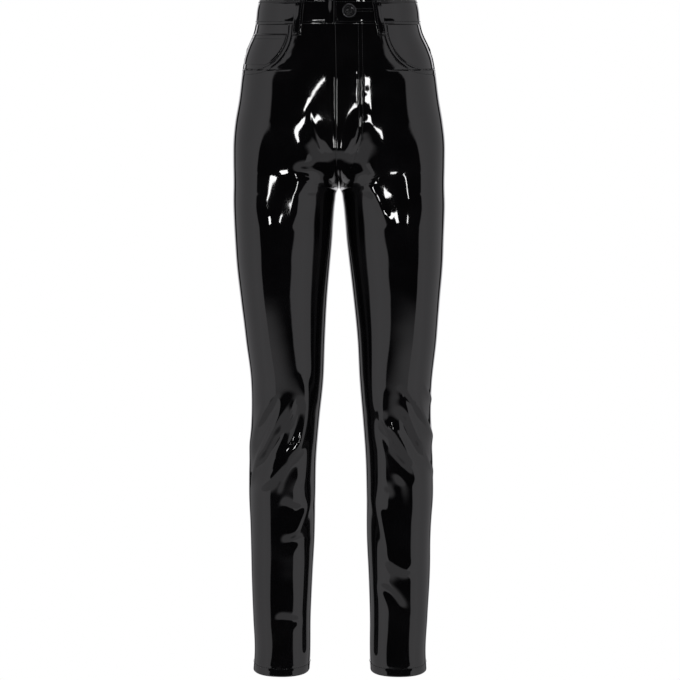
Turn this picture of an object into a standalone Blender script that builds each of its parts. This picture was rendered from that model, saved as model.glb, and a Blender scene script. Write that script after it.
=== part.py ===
"""High-waisted skinny five-pocket trousers in patent vinyl, filled out as if worn.

Metres, +Z up, the front faces -Y, +X is the wearer's left.  The origin is the centre of
the waist opening, in the plane of the waistband's top edge.

Every piece is a wall of cloth.  Its points come from one surface, `cloth_point`, which is
worked out from two section tables (the trunk and one leg) and a table of folds.  A place on
that surface is given by `around` (0 at the centre front or inseam, 0.25 at the middle of
the front of the leg, 0.5 at the side seam, 1 at the centre back or inseam again) and by
`level`, the height of the row at the side seam.
"""
from collections import namedtuple
import math

import bpy
import numpy as np

MM = 0.001

# --- driving dimensions -------------------------------------------------------------
CLOTH = 1.5 * MM            # thickness of one layer with its fold-over and backing
SEAM = 0.3 * MM             # gap between neighbouring pieces
BAND_HEIGHT = 35.0 * MM
BAND_THICKNESS = 2.4 * MM   # the waistband is doubled
BAND_PROUD = 0.6 * MM
HEM = -1036.0 * MM          # height of the leg openings
HEM_TURN = 12.0 * MM

FORK = -283.0 * MM          # the crotch point, where the four panels meet
FORK_SIDE = -252.0 * MM     # the row that ends at the crotch point starts here
FORK_DEPTH = 4.0 * MM       # the crotch point lies this far behind the waist's centre
RISE_CURVE_FRONT = -214.0 * MM
RISE_CURVE_BACK = -150.0 * MM
ROWS_LEVEL_AGAIN = -352.0 * MM
BLEND_TOP = -140.0 * MM
BLEND_BOTTOM = -332.0 * MM
INNER_REACH = 0.085         # how far around the leg the crotch curve's pull is felt
DIP_REACH = 0.17
FORK_EASE = 25.0 * MM       # the inseam's gap opens over this height
LEAN_CHANGE = -280.0 * MM   # the sideways lean is the trunk's above this and the leg's below
GROIN_FILL = 8.5 * MM       # the front is filled out where the trunk turns into the thigh
GROIN_AT = 0.13
GROIN_REACH = 0.07

MOUTH_SIDE = 144.5 * MM     # front pocket mouth: where it meets the side seam
MOUTH_WIDTH = 71.5 * MM     # and how far it reaches in from there and down from the waistband
MOUTH_DEPTH = 66.5 * MM
MOUTH_SQUARENESS = 0.8      # below 1 it is squarer than an oval
MOUTH_GAP = 0.8 * MM        # between the mouth's edge and the facing under it
FACING_LIFT = -CLOTH - SEAM
COIN_CLOTH = 1.0 * MM
COIN_LIFT = FACING_LIFT + SEAM + COIN_CLOTH
YOKE_AT_SIDE = -74.0 * MM
YOKE_AT_CENTRE = -108.0 * MM
POCKET_OUTER = 0.640        # back pocket's borders, as values of `around`
POCKET_INNER = 0.921
POCKET_TAPER = 0.018
POCKET_TOP = -121.0 * MM
POCKET_TILT = 9.0 * MM      # its mouth is lower at the centre back, along the yoke
POCKET_HEIGHT = 134.0 * MM
POCKET_POINT = 24.0 * MM
POCKET_CLEAR = 0.9 * MM     # the patch bridges the panel's flat facets

OVERLAP_END = -0.0060       # the left band's free end, just past the centre front
UNDERLAP_END = 0.040        # and the right band's, under the left one
LAP_START = 0.014           # the right band starts to dive this far before the overlap's end
LAP_DEEP = 0.0008           # and is under it by here
WAIST_ROUND = 670.0 * MM    # once round the waistband
LOOP_HALF_WIDTH = 5.2 * MM
LOOP_BULGE = 1.6 * MM       # a belt loop stands this far off the band at its middle
LOOP_TOP = -1.5 * MM
LOOP_BOTTOM = -52.0 * MM
LOOP_STEP_START = -36.0 * MM    # below the band's edge a loop comes down onto the panel
LOOP_STEP_END = -44.0 * MM
BUTTON_TURN = 0.0184        # its place round the waist, from the centre front
BUTTON_LEVEL = -16.5 * MM
BUTTON_RADIUS = 10.5 * MM
BUTTON_THICKNESS = 3.6 * MM
BUTTON_CLEAR = 0.2 * MM     # the button's foot bridges the band's flat facets
HEM_CLOTH = 0.8 * MM        # the turned-up end is a single skived layer

# --- sections, in millimetres, one row for each height ------------------------------
TrunkSection = namedtuple("TrunkSection", "height half_width front back lean")
TRUNK = [
    TrunkSection(5.0, 116.5, -85.5, 87.5, -1.5),
    TrunkSection(0.0, 117.5, -86.0, 88.0, -1.5),
    TrunkSection(-14.0, 120.6, -88.0, 90.5, -1.5),
    TrunkSection(-31.0, 122.8, -90.0, 93.0, -1.5),
    TrunkSection(-49.0, 127.0, -92.0, 97.0, -1.2),
    TrunkSection(-67.0, 135.0, -94.0, 101.0, -0.8),
    TrunkSection(-84.0, 141.2, -96.0, 105.0, -0.5),
    TrunkSection(-102.0, 144.8, -98.0, 108.5, -0.2),
    TrunkSection(-150.0, 151.5, -101.5, 116.5, 0.0),
    TrunkSection(-180.0, 157.0, -103.0, 120.0, 0.0),
    TrunkSection(-210.0, 160.3, -103.0, 121.5, 0.0),
    TrunkSection(-240.0, 160.8, -101.0, 120.0, 0.0),
    TrunkSection(-270.0, 160.4, -98.0, 114.0, 0.0),
    TrunkSection(-300.0, 160.9, -95.0, 106.0, 0.0),
    TrunkSection(-340.0, 160.0, -92.0, 99.0, 0.0),
]
LegSection = namedtuple("LegSection", "height outer inner front back lean")
LEG = [
    LegSection(-150.0, 151.5, 0.0, -96.0, 108.0, 0.0),
    LegSection(-180.0, 157.0, 0.0, -96.0, 110.0, 0.0),
    LegSection(-210.0, 160.3, 0.0, -96.0, 110.0, 0.0),
    LegSection(-240.0, 160.8, 0.0, -95.5, 108.0, 0.0),
    LegSection(-281.0, 160.4, 0.2, -93.5, 101.0, 0.0),
    LegSection(-288.0, 160.6, 3.4, -93.0, 99.5, 0.0),
    LegSection(-300.0, 160.9, 5.3, -92.0, 97.0, 0.1),
    LegSection(-330.0, 160.3, 8.3, -90.0, 92.5, 0.3),
    LegSection(-361.0, 159.1, 10.6, -87.5, 89.0, 0.6),
    LegSection(-391.0, 157.8, 13.7, -84.5, 86.5, 1.0),
    LegSection(-452.0, 152.2, 19.8, -78.0, 81.5, 2.0),
    LegSection(-514.0, 146.5, 24.4, -70.5, 76.0, 3.4),
    LegSection(-576.0, 139.6, 27.2, -62.5, 70.0, 3.8),
    LegSection(-638.0, 138.6, 33.0, -54.5, 66.0, 3.2),
    LegSection(-700.0, 141.8, 37.6, -48.0, 69.0, 3.0),
    LegSection(-763.0, 142.8, 39.3, -43.5, 71.0, 3.0),
    LegSection(-827.0, 140.9, 40.3, -40.5, 68.0, 2.6),
    LegSection(-890.0, 139.6, 43.4, -38.0, 62.0, 2.4),
    LegSection(-954.0, 137.0, 45.9, -36.5, 58.0, 2.0),
    LegSection(-1014.0, 134.6, 46.2, -36.0, 57.0, 1.6),
    LegSection(-1036.0, 136.2, 47.0, -37.0, 58.0, 1.4),
]
SQUARENESS = 0.02           # sections are a little fuller than an ellipse at the corners
FRONT_SQUARENESS = 0.04     # and the trunk's front is flatter still
LEG_SWELL = 6.5 * MM        # a thigh is fuller on its outer side than on its inner side
SWELL_TOP = -430.0 * MM     # the swell fades out between here and the knee
SWELL_BOTTOM = -620.0 * MM
SEAT_GROOVE = 5.0 * MM      # the seat dips this far along the centre-back seam
SEAT_GROOVE_WIDTH = 26.0 * MM
SEAT_GROOVE_MIDDLE = -215.0 * MM
SEAT_GROOVE_REACH = 70.0 * MM

FOLD_FADE_IN = (-0.12, 0.25)    # a fold rises over this share of its length
FOLD_FADE_OUT = (1.12, 0.75)
FACE_CHANGE = (0.53, 0.45)      # `around` where front folds give way to back folds
FOLD_EDGE = 0.05                # folds die out this close to the inseam and the centre seams

# --- folds: the large ones, in millimetres, as lines on the garment seen from the front
# or back.  leg: -1 the wearer's right, 1 the left.  `bow` bends the line's middle sideways.
Fold = namedtuple("Fold", "leg face x_start z_start x_end z_end bow width height")
FOLDS = [
    # crotch: a tuck under each front, and the ridges that turn down the thighs
    Fold(-1, "front", -64, -251, -2, -250, -1, 8, -3.6),
    Fold(-1, "front", -60, -262, -66, -330, 0, 9, 1.6),
    Fold(1, "front", 8, -250, 48, -266, 2, 8, -3.8),
    Fold(1, "front", 32, -258, 70, -326, 5, 7, 2.8),
    # knees: steep folds that slant from the inner side down to the outer side
    Fold(-1, "front", -57, -561, -71, -686, 9, 8, 3.4),
    Fold(-1, "front", -62, -655, -125, -738, 5, 9, 3.6),
    Fold(-1, "front", -81, -595, -133, -700, 2, 8, 3.4),
    Fold(-1, "front", -110, -596, -139, -694, -2, 8, 3),
    Fold(-1, "front", -86, -636, -129, -718, -1, 7, -3.2),
    Fold(-1, "front", -63, -601, -80, -674, 5, 6, -3),
    Fold(-1, "front", -97, -598, -134, -697, -1, 6, -2.4),
    Fold(1, "front", 63, -591, 92, -695, -9, 8, 3.2),
    Fold(1, "front", 61, -636, 107, -721, -5, 7, -3.2),
    Fold(1, "front", 91, -616, 128, -705, -3, 8, -3.4),
    Fold(1, "front", 72, -632, 112, -696, -1, 7, 3),
    Fold(1, "front", 94, -601, 127, -676, -2, 8, 3.2),
    Fold(1, "front", 112, -589, 141, -679, 1, 7, 3),
    # calves: the cloth buckles down to the ankles
    Fold(-1, "front", -54, -662, -60, -738, 3, 12, 2.0),
    Fold(-1, "front", -90, -760, -58, -774, -3, 8, -2.2),
    Fold(-1, "front", -48, -757, -78, -816, 4, 7, 2.4),
    Fold(-1, "front", -90, -826, -46, -820, 3, 9, -2.2),
    Fold(-1, "front", -100, -946, -62, -952, 2, 7, -1.8),
    Fold(1, "front", 68, -657, 72, -744, -4, 13, 2.0),
    Fold(1, "front", 86, -718, 93, -784, 3, 8, -2.0),
    Fold(1, "front", 50, -757, 78, -874, 4, 8, 2.4),
    Fold(1, "front", 68, -842, 110, -868, -3, 9, 2.0),
    Fold(1, "front", 60, -892, 98, -938, 4, 8, -2.0),
    # back of the knees, under the seat and above the ankles
    Fold(-1, "back", -34, -606, -130, -588, -5, 11, -3.8),
    Fold(-1, "back", -34, -634, -132, -640, 5, 11, 3.8),
    Fold(-1, "back", -38, -664, -130, -646, -5, 10, -3.4),
    Fold(-1, "back", -42, -694, -134, -706, 4, 11, 3.0),
    Fold(-1, "back", -16, -300, -122, -284, 7, 12, -3.2),
    Fold(-1, "back", -18, -334, -96, -316, 6, 12, -2.2),
    Fold(1, "back", 34, -602, 130, -592, 5, 11, -3.8),
    Fold(1, "back", 34, -630, 132, -642, -5, 11, 3.8),
    Fold(1, "back", 38, -660, 130, -650, 5, 10, -3.4),
    Fold(1, "back", 42, -692, 134, -702, -4, 11, 3.0),
    Fold(1, "back", 16, -303, 124, -286, -7, 12, -3.2),
    Fold(1, "back", 18, -338, 94, -318, -6, 12, -2.2),
    Fold(-1, "back", -54, -888, -124, -912, 4, 13, 2.0),
    Fold(1, "back", 56, -894, 126, -906, -4, 13, 2.0),
]

# --- rows and columns of the walls ----------------------------------------------------
PANEL_COLUMNS = 12
FACING_COLUMNS = 8
MOUTH_ROWS = 7
RowBand = namedtuple("RowBand", "bottom rows")
PANEL_ROWS = [              # below the pocket mouth or the yoke, down to the hem
    RowBand(-252.0 * MM, 8),
    RowBand(-352.0 * MM, 6),
    RowBand(-556.0 * MM, 6),
    RowBand(-770.0 * MM, 22),
    RowBand(-1006.0 * MM, 8),
    RowBand(HEM, 2),
]
YOKE_ROWS_TO = -130.0 * MM  # the back panel's rows slope with the yoke seam down to here
YOKE_ROWS = 4
SLOPED_ROWS = 2
POCKET_ROWS = 11
BAND_COLUMNS = 22
BAND_ROWS = 3
LOOP_ROWS = 8
HEM_ROWS = 2
BUTTON_SEGMENTS = 28
EVEN_DIAGONALS = 1.02       # a quad's diagonals count as equal up to this ratio


# --- small helpers ----------------------------------------------------------------------
def smoothstep(start, end, value):
    """0 at start, 1 at end, with level ends."""
    x = np.clip((np.asarray(value, float) - start) / (end - start), 0.0, 1.0)
    return x * x * (3.0 - 2.0 * x)


def column(table, name, height):
    """One column of a section table at any height, as a smooth curve through its rows."""
    rows = sorted(table, key=lambda row: row.height)
    heights = np.array([row.height for row in rows]) * MM
    values = np.array([getattr(row, name) for row in rows]) * MM
    slopes = np.gradient(values, heights)
    at = np.clip(height, heights[0], heights[-1])
    index = np.clip(np.searchsorted(heights, at, side="right") - 1, 0, len(heights) - 2)
    span = heights[index + 1] - heights[index]
    s = (at - heights[index]) / span
    return ((1 + 2 * s) * (1 - s) ** 2 * values[index] + s * (1 - s) ** 2 * span * slopes[index]
            + s * s * (3 - 2 * s) * values[index + 1] + s * s * (s - 1) * span * slopes[index + 1])


def rounded(angle, squareness=SQUARENESS):
    """Sine and cosine of a unit section that is a little squarer than a circle."""
    scale = 1.0 / (1.0 - squareness)
    sine = scale * (np.sin(angle) + squareness * np.sin(3 * angle))
    cosine = scale * (np.cos(angle) - squareness * np.cos(3 * angle))
    return sine, cosine


# --- the surface --------------------------------------------------------------------------
def trunk_xy(around, height):
    """Half of the trunk's section: centre front at 0, side at 0.5, centre back at 1."""
    half_width = column(TRUNK, "half_width", height)
    front = column(TRUNK, "front", height)
    back = column(TRUNK, "back", height)
    squareness = SQUARENESS + (FRONT_SQUARENESS - SQUARENESS) * smoothstep(0.62, 0.38, around)
    sine, cosine = rounded(math.pi * around, squareness)
    x = SEAM / 2 + (half_width - SEAM / 2) * sine
    y = (front + back) / 2 - (back - front) / 2 * cosine
    reach = np.exp(-((height - SEAT_GROOVE_MIDDLE) / SEAT_GROOVE_REACH) ** 2)
    groove = SEAT_GROOVE * reach * np.exp(-(x / SEAT_GROOVE_WIDTH) ** 2)
    return x, y - groove * smoothstep(0.6, 0.8, around)


def leg_xy(around, height):
    """One leg's section: inseam at 0 and 1, middle of the front at 0.25, side at 0.5."""
    outer = column(LEG, "outer", height)
    inner = np.maximum(column(LEG, "inner", height), SEAM / 2)
    front = column(LEG, "front", height)
    back = column(LEG, "back", height)
    sine, cosine = rounded(2 * math.pi * around)
    x = (outer + inner) / 2 - (outer - inner) / 2 * cosine
    swell = LEG_SWELL * smoothstep(SWELL_BOTTOM, SWELL_TOP, height)
    y = (front + back) / 2 - (back - front) / 2 * sine + swell * np.sin(4 * math.pi * around)
    return x, y


def rise_angle(around, level):
    """0 above the crotch curve, a quarter turn at the crotch point."""
    top = RISE_CURVE_FRONT + (RISE_CURVE_BACK - RISE_CURVE_FRONT) * (around > 0.5)
    share = np.clip((top - level) / (top - FORK_SIDE), 0.0, 1.0)
    ease = (top - FORK_SIDE) / (top - FORK) * 2 / math.pi
    return top, (ease + (1.0 - ease) * share) * share * math.pi / 2


def base_point(around, level):
    """A point of the wearer's left half without its folds."""
    around, level = np.broadcast_arrays(np.asarray(around, float), np.asarray(level, float))
    inner_end = np.minimum(around, 1.0 - around)
    top, angle = rise_angle(around, level)
    curve_height = top - (top - FORK) * np.sin(angle)
    dip_above = np.where(level < top, level - curve_height, 0.0)
    dip_at_fork = FORK_SIDE - FORK
    dip_below = dip_at_fork * (1.0 - smoothstep(FORK_SIDE, ROWS_LEVEL_AGAIN, level))
    dip = np.where(level > FORK_SIDE, dip_above, dip_below)
    height = level - dip * np.exp(-(inner_end / DIP_REACH) ** 2)
    near = np.exp(-(inner_end / INNER_REACH) ** 2)
    legness = ((1 - near) * smoothstep(BLEND_TOP, BLEND_BOTTOM, level)
               + near * (1.0 - np.cos(angle)))
    trunk_x, trunk_y = trunk_xy(around, height)
    leg_x, leg_y = leg_xy(around, height)
    shift = FORK_DEPTH - (column(LEG, "front", height) + column(LEG, "back", height)) / 2
    at_fork = near * smoothstep(ROWS_LEVEL_AGAIN, FORK_SIDE, level)
    x = (1 - legness) * trunk_x + legness * leg_x
    y = (1 - legness) * trunk_y + legness * (leg_y + shift * at_fork)
    filled = 4 * legness * (1 - legness) * np.exp(-((around - GROIN_AT) / GROIN_REACH) ** 2)
    return np.stack([x, y - GROIN_FILL * filled, height], axis=-1)


def outward(around, level):
    """Unit normals of the unfolded surface."""
    step_around, step_level = 0.002, 0.5 * MM
    centre = base_point(around, level)
    across = (base_point(np.minimum(around + step_around, 1.0), level)
              - base_point(np.maximum(around - step_around, 0.0), level))
    down = base_point(around, level - step_level) - base_point(around, level + step_level)
    normal = np.cross(down, across)
    on_centre_seam = np.minimum(around, 1.0 - around) < 1e-9
    above_fork = (level > RISE_CURVE_FRONT) & on_centre_seam
    normal[..., 0] = np.where(above_fork, 0.0, normal[..., 0])
    normal /= np.maximum(np.linalg.norm(normal, axis=-1, keepdims=True), 1e-12)
    return centre, normal


def fold_relief(leg, around, points):
    """Height of the folds at some points, along the normal."""
    relief = np.zeros(points.shape[:-1])
    face_front = smoothstep(*FACE_CHANGE, around)
    x, z = leg * points[..., 0], points[..., 2]
    for fold in FOLDS:
        if fold.leg != leg:
            continue
        start = np.array([fold.x_start, fold.z_start]) * MM
        end = np.array([fold.x_end, fold.z_end]) * MM
        length = np.linalg.norm(end - start)
        along_x, along_z = (end - start) / length
        along = ((x - start[0]) * along_x + (z - start[1]) * along_z) / length
        across = (x - start[0]) * -along_z + (z - start[1]) * along_x
        inside = np.clip(along, 0.0, 1.0)
        across = across - fold.bow * MM * 4 * inside * (1 - inside)
        fade = smoothstep(*FOLD_FADE_IN, along) * smoothstep(*FOLD_FADE_OUT, along)
        face = face_front if fold.face == "front" else 1.0 - face_front
        relief += fold.height * MM * np.exp(-(across / (fold.width * MM)) ** 2) * fade * face
    edge = np.minimum(around, 1.0 - around)
    return relief * smoothstep(0.0, FOLD_EDGE, edge)


def cloth_point(side, around, level, lift=0.0):
    """A point of the cloth on one half (side 1 or -1), moved out by lift."""
    around, level = np.broadcast_arrays(np.asarray(around, float), np.asarray(level, float))
    points, normals = outward(around, level)
    relief = fold_relief(side, around, points)
    points = points + normals * (relief + lift)[..., None]
    height = points[..., 2]
    lean = np.where(height > LEAN_CHANGE, column(TRUNK, "lean", height),
                    column(LEG, "lean", height))
    points[..., 0] = side * points[..., 0] + lean
    return points


def around_at(distance, level):
    """The value of `around` where the front is `distance` from the centre plane."""
    samples = np.linspace(0.0, 0.5, 201)
    x = base_point(samples, np.full(samples.shape, level))[..., 0]
    return np.interp(distance, x, samples)


def steps(start, end, count):
    return [start + (end - start) * index / count for index in range(1, count + 1)]


# --- making solids --------------------------------------------------------------------------
def material(name, colour, roughness, metallic=0.0):
    made = bpy.data.materials.new(name)
    made.use_nodes = True
    shader = made.node_tree.nodes["Principled BSDF"]
    shader.inputs["Base Color"].default_value = (*colour, 1.0)
    shader.inputs["Roughness"].default_value = roughness
    shader.inputs["Metallic"].default_value = metallic
    return made


def add_object(name, vertices, faces, collection, finish):
    mesh = bpy.data.meshes.new(name)
    mesh.from_pydata([tuple(point) for point in vertices], [], faces)
    mesh.materials.append(finish)
    mesh.shade_smooth()
    mesh.set_sharp_from_angle(angle=math.radians(50))
    made = bpy.data.objects.new(name, mesh)
    collection.objects.link(made)
    return made


def wall(name, outer, inner, collection, finish, closed=False, mirrored=False):
    """A closed solid between two grids of points, rows first.

    Each quad starts at an end of its shorter diagonal, along which it is split.  A mirrored
    wall has its columns on the other side, so its faces turn the other way.
    """
    rows, columns = outer.shape[:2]
    vertices = np.concatenate([outer.reshape(-1, 3), inner.reshape(-1, 3)])
    count = rows * columns
    faces = []
    last = columns if closed else columns - 1
    for row in range(rows - 1):
        for col in range(last):
            a = row * columns + col
            b = row * columns + (col + 1) % columns
            c, d = b + columns, a + columns
            corners = vertices[[a, b, c, d]]
            falling = np.linalg.norm(corners[2] - corners[0])
            rising = np.linalg.norm(corners[3] - corners[1])
            quad = (c, b, a, d) if falling < EVEN_DIAGONALS * rising else (d, c, b, a)
            faces.append(quad)
            faces.append((count + quad[0], *(count + corner for corner in quad[:0:-1])))
    for col in range(last):
        a, b = col, (col + 1) % columns
        faces.append((a, b, count + b, count + a))
        a, b = a + (rows - 1) * columns, b + (rows - 1) * columns
        faces.append((b, a, count + a, count + b))
    if not closed:
        for row in range(rows - 1):
            a, b = row * columns, (row + 1) * columns
            faces.append((b, a, count + a, count + b))
            a, b = a + columns - 1, b + columns - 1
            faces.append((a, b, count + b, count + a))
    if mirrored:
        faces = [(face[0], *reversed(face[1:])) for face in faces]
    return add_object(name, vertices, faces, collection, finish)


def cloth_patch(name, side, around, level, lift, thickness, collection, finish):
    """A wall over a grid of surface places; around and level have a row for each row."""
    outer = cloth_point(side, around, level, lift)
    inner = cloth_point(side, around, level, lift - thickness)
    return wall(name, outer, inner, collection, finish, mirrored=side < 0)


def side_name(side):
    return "left" if side > 0 else "right"


# --- edges between the pieces ---------------------------------------------------------------
def seam_around(level):
    """Half a seam's gap on a leg, as a value of `around`."""
    half_depth = (column(LEG, "back", level) - column(LEG, "front", level)) / 2
    return SEAM / 2 / (2 * math.pi * half_depth)


def inner_edge(level):
    """Start of a front panel; on the trunk the centre seam's gap is already in the section."""
    return seam_around(level) * smoothstep(FORK_SIDE + FORK_EASE, FORK_SIDE, level)


def side_gap(level):
    """Half the side seam's gap; `around` runs half as fast on the trunk as on the leg."""
    return seam_around(level) * (2.0 - smoothstep(BLEND_TOP, BLEND_BOTTOM, level))


def panel_levels(start):
    levels = [start]
    for band in PANEL_ROWS:
        levels += steps(levels[-1], band.bottom, band.rows)
    return levels


def mouth_rows(shrink=0.0):
    """Rows of the pocket mouth, a quarter of an oval round the top of the side seam."""
    top = -BAND_HEIGHT - SEAM
    levels, edges = [], []
    for index in range(MOUTH_ROWS + 1):
        angle = math.pi / 2 * index / MOUTH_ROWS
        level = top - (MOUTH_DEPTH - shrink) * math.sin(angle)
        reach = (MOUTH_WIDTH - shrink) * abs(math.cos(angle)) ** MOUTH_SQUARENESS
        distance = MOUTH_SIDE - reach
        edge = min(float(around_at(distance, level)), 0.5 - float(side_gap(level)))
        levels.append(level)
        edges.append(edge)
    return levels, edges


# --- the pieces -----------------------------------------------------------------------------
def front_panel(side, collection, finish):
    mouth_levels, mouth_edges = mouth_rows()
    levels = np.array(mouth_levels + panel_levels(mouth_levels[-1])[1:])
    ends = 0.5 - side_gap(levels)
    ends[:len(mouth_edges)] = mouth_edges
    share = np.linspace(0.0, 1.0, PANEL_COLUMNS + 1)
    level = np.repeat(levels[:, None], share.size, axis=1)
    start = inner_edge(level)
    around = start + (ends[:, None] - start) * share
    return cloth_patch(f"front_panel_{side_name(side)}", side, around, level, 0.0, CLOTH,
                       collection, finish)


def yoke_line(around):
    """Level of the yoke seam: it runs down from the side to the centre back."""
    return YOKE_AT_SIDE + (YOKE_AT_CENTRE - YOKE_AT_SIDE) * (around - 0.5) * 2


def back_around(level):
    """The back panel's columns at one level, from the side seam to the inner edge."""
    start = 0.5 + side_gap(level)
    end = 1.0 - inner_edge(level)
    return start + (end - start) * np.linspace(0.0, 1.0, PANEL_COLUMNS + 1)


def back_panel(side, collection, finish):
    around_rows, level_rows = [], []
    top_around = back_around(YOKE_ROWS_TO)
    top = yoke_line(top_around) - SEAM / 2
    for row in range(SLOPED_ROWS):
        around_rows.append(top_around)
        level_rows.append(top + (YOKE_ROWS_TO - top) * row / SLOPED_ROWS)
    for level in panel_levels(YOKE_ROWS_TO):
        around_rows.append(back_around(level))
        level_rows.append(np.full(top_around.shape, level))
    return cloth_patch(f"back_panel_{side_name(side)}", side, np.array(around_rows),
                       np.array(level_rows), 0.0, CLOTH, collection, finish)


def yoke(side, collection, finish):
    around = back_around(YOKE_AT_SIDE)
    top = -BAND_HEIGHT - SEAM
    bottom = yoke_line(around) + SEAM / 2
    level = np.array([top + (bottom - top) * row / YOKE_ROWS for row in range(YOKE_ROWS + 1)])
    around = np.repeat(around[None, :], YOKE_ROWS + 1, axis=0)
    return cloth_patch(f"yoke_{side_name(side)}", side, around, level, 0.0, CLOTH,
                       collection, finish)


def facing_grid():
    """Places of the hip piece inside the pocket mouth, from the mouth to the side seam."""
    levels, edges = mouth_rows(shrink=MOUTH_GAP)
    share = np.linspace(0.0, 1.0, FACING_COLUMNS + 1)
    around_rows, level_rows = [], []
    for index in range(MOUTH_ROWS):
        end = 0.5 - float(side_gap(levels[index]))
        around_rows.append(edges[index] + (end - edges[index]) * share)
        level_rows.append(np.full(share.shape, levels[index]))
    level_rows[-1] = np.interp(around_rows[-1], edges[-2:], levels[-2:])
    return np.array(around_rows), np.array(level_rows)


def pocket_facing(side, collection, finish):
    """The hip piece inside the pocket mouth, one layer below the panel."""
    around, level = facing_grid()
    return cloth_patch(f"pocket_facing_{side_name(side)}", side, around, level, FACING_LIFT,
                       CLOTH, collection, finish)


def coin_pocket(collection, finish):
    """The small pocket on the wearer's right facing, made of the facing's own points."""
    around, level = facing_grid()
    shown = (slice(1, MOUTH_ROWS - 1), slice(0, FACING_COLUMNS))
    return cloth_patch("coin_pocket", -1, around[shown], level[shown], COIN_LIFT, COIN_CLOTH,
                       collection, finish)


def back_pocket(side, collection, finish):
    """A patch with a pointed foot.  Between its borders its columns are the panel's own."""
    panel_around = 1.0 - np.arange(PANEL_COLUMNS + 1) * 0.5 / PANEL_COLUMNS
    inside = [value for value in panel_around if POCKET_OUTER < value < POCKET_INNER][::-1]
    middle = (POCKET_OUTER + POCKET_INNER) / 2
    outer_rows, inner_rows = [], []
    for row in range(POCKET_ROWS + 1):
        down = row / POCKET_ROWS
        taper = POCKET_TAPER * down
        around = np.array([POCKET_OUTER + taper] + inside + [POCKET_INNER - taper])
        share = (around - middle) / (POCKET_INNER - middle)
        foot = POCKET_HEIGHT - POCKET_POINT * np.abs(share)
        level = POCKET_TOP - POCKET_TILT * (1 + share) / 2 - foot * down
        outer_rows.append(on_panel(side, around, level, panel_around, POCKET_CLEAR + CLOTH))
        inner_rows.append(on_panel(side, around, level, panel_around, POCKET_CLEAR))
    outer, inner = np.array(outer_rows), np.array(inner_rows)
    return wall(f"back_pocket_{side_name(side)}", outer, inner, collection, finish,
                mirrored=side < 0)


def on_panel(side, around, level, panel_around, lift):
    """Points on the flat facets between a panel's columns, moved out by lift."""
    columns = np.sort(panel_around)
    index = np.clip(np.searchsorted(columns, around, side="right") - 1, 0, columns.size - 2)
    share = ((around - columns[index]) / (columns[index + 1] - columns[index]))[:, None]
    before = cloth_point(side, columns[index], level, lift)
    after = cloth_point(side, columns[index + 1], level, lift)
    return before * (1 - share) + after * share


def ring_point(turn, level, lift):
    """A point round the waist: turn 0 and 1 at the centre front, 0.5 at the centre back."""
    turn = np.asarray(turn, float)
    wrapped = np.mod(turn, 1.0)
    left = wrapped <= 0.5
    around = np.where(left, 2 * wrapped, 2 * (1 - wrapped))
    on_left = cloth_point(1, around, level, lift)
    on_right = cloth_point(-1, around, level, lift)
    return np.where(left[..., None], on_left, on_right)


def waistband(side, collection, finish):
    """One half of the band; the left one laps over the right one at the front."""
    back_end = 0.5 - SEAM / 2 / WAIST_ROUND
    if side > 0:
        turn = np.linspace(OVERLAP_END, back_end, BAND_COLUMNS + 1)
        lift = np.full(turn.shape, BAND_PROUD)
    else:
        dive_from = OVERLAP_END - LAP_START
        dive_to = OVERLAP_END - LAP_DEEP
        lap = np.array([dive_from + 0.002, dive_to + 0.0002, 0.006, UNDERLAP_END / 2,
                        UNDERLAP_END])
        outside = np.linspace(-back_end, 2 * dive_from - OVERLAP_END, BAND_COLUMNS - 4)
        turn = np.concatenate([outside, lap])
        lift = BAND_PROUD - (BAND_THICKNESS + SEAM) * smoothstep(dive_from, dive_to, turn)
    level = np.linspace(0.0, -BAND_HEIGHT, BAND_ROWS + 1)[:, None] + 0.0 * turn
    turn = turn + 0.0 * level
    lift = lift + 0.0 * level
    outer = ring_point(turn, level, lift)
    inner = ring_point(turn, level, lift - BAND_THICKNESS)
    return wall(f"waistband_{side_name(side)}", outer, inner, collection, finish)


def belt_loop(name, turn_top, turn_bottom, collection, finish):
    """A flat strip over the band, tacked above its top edge and below its seam."""
    share = np.linspace(0.0, 1.0, LOOP_ROWS + 1)[:, None]
    across = np.array([-1.0, 0.0, 1.0])[None, :] * LOOP_HALF_WIDTH / WAIST_ROUND
    turn = turn_top + (turn_bottom - turn_top) * share + across
    level = LOOP_TOP + (LOOP_BOTTOM - LOOP_TOP) * share + 0.0 * across
    seat = SEAM + BAND_PROUD * smoothstep(LOOP_STEP_END, LOOP_STEP_START, level)
    lift = seat + CLOTH + LOOP_BULGE * np.sin(math.pi * share) ** 0.8
    outer = ring_point(turn, level, lift)
    inner = ring_point(turn, level, lift - CLOTH)
    return wall(name, outer, inner, collection, finish)


# the button's turned profile, as shares of its radius and thickness, from its foot
ProfilePoint = namedtuple("ProfilePoint", "radius height")
BUTTON_PROFILE = [
    ProfilePoint(0.55, 0.00),
    ProfilePoint(0.93, 0.08),
    ProfilePoint(1.00, 0.36),
    ProfilePoint(0.97, 0.75),
    ProfilePoint(0.86, 1.00),
    ProfilePoint(0.76, 0.81),
    ProfilePoint(0.45, 0.86),
]


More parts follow.
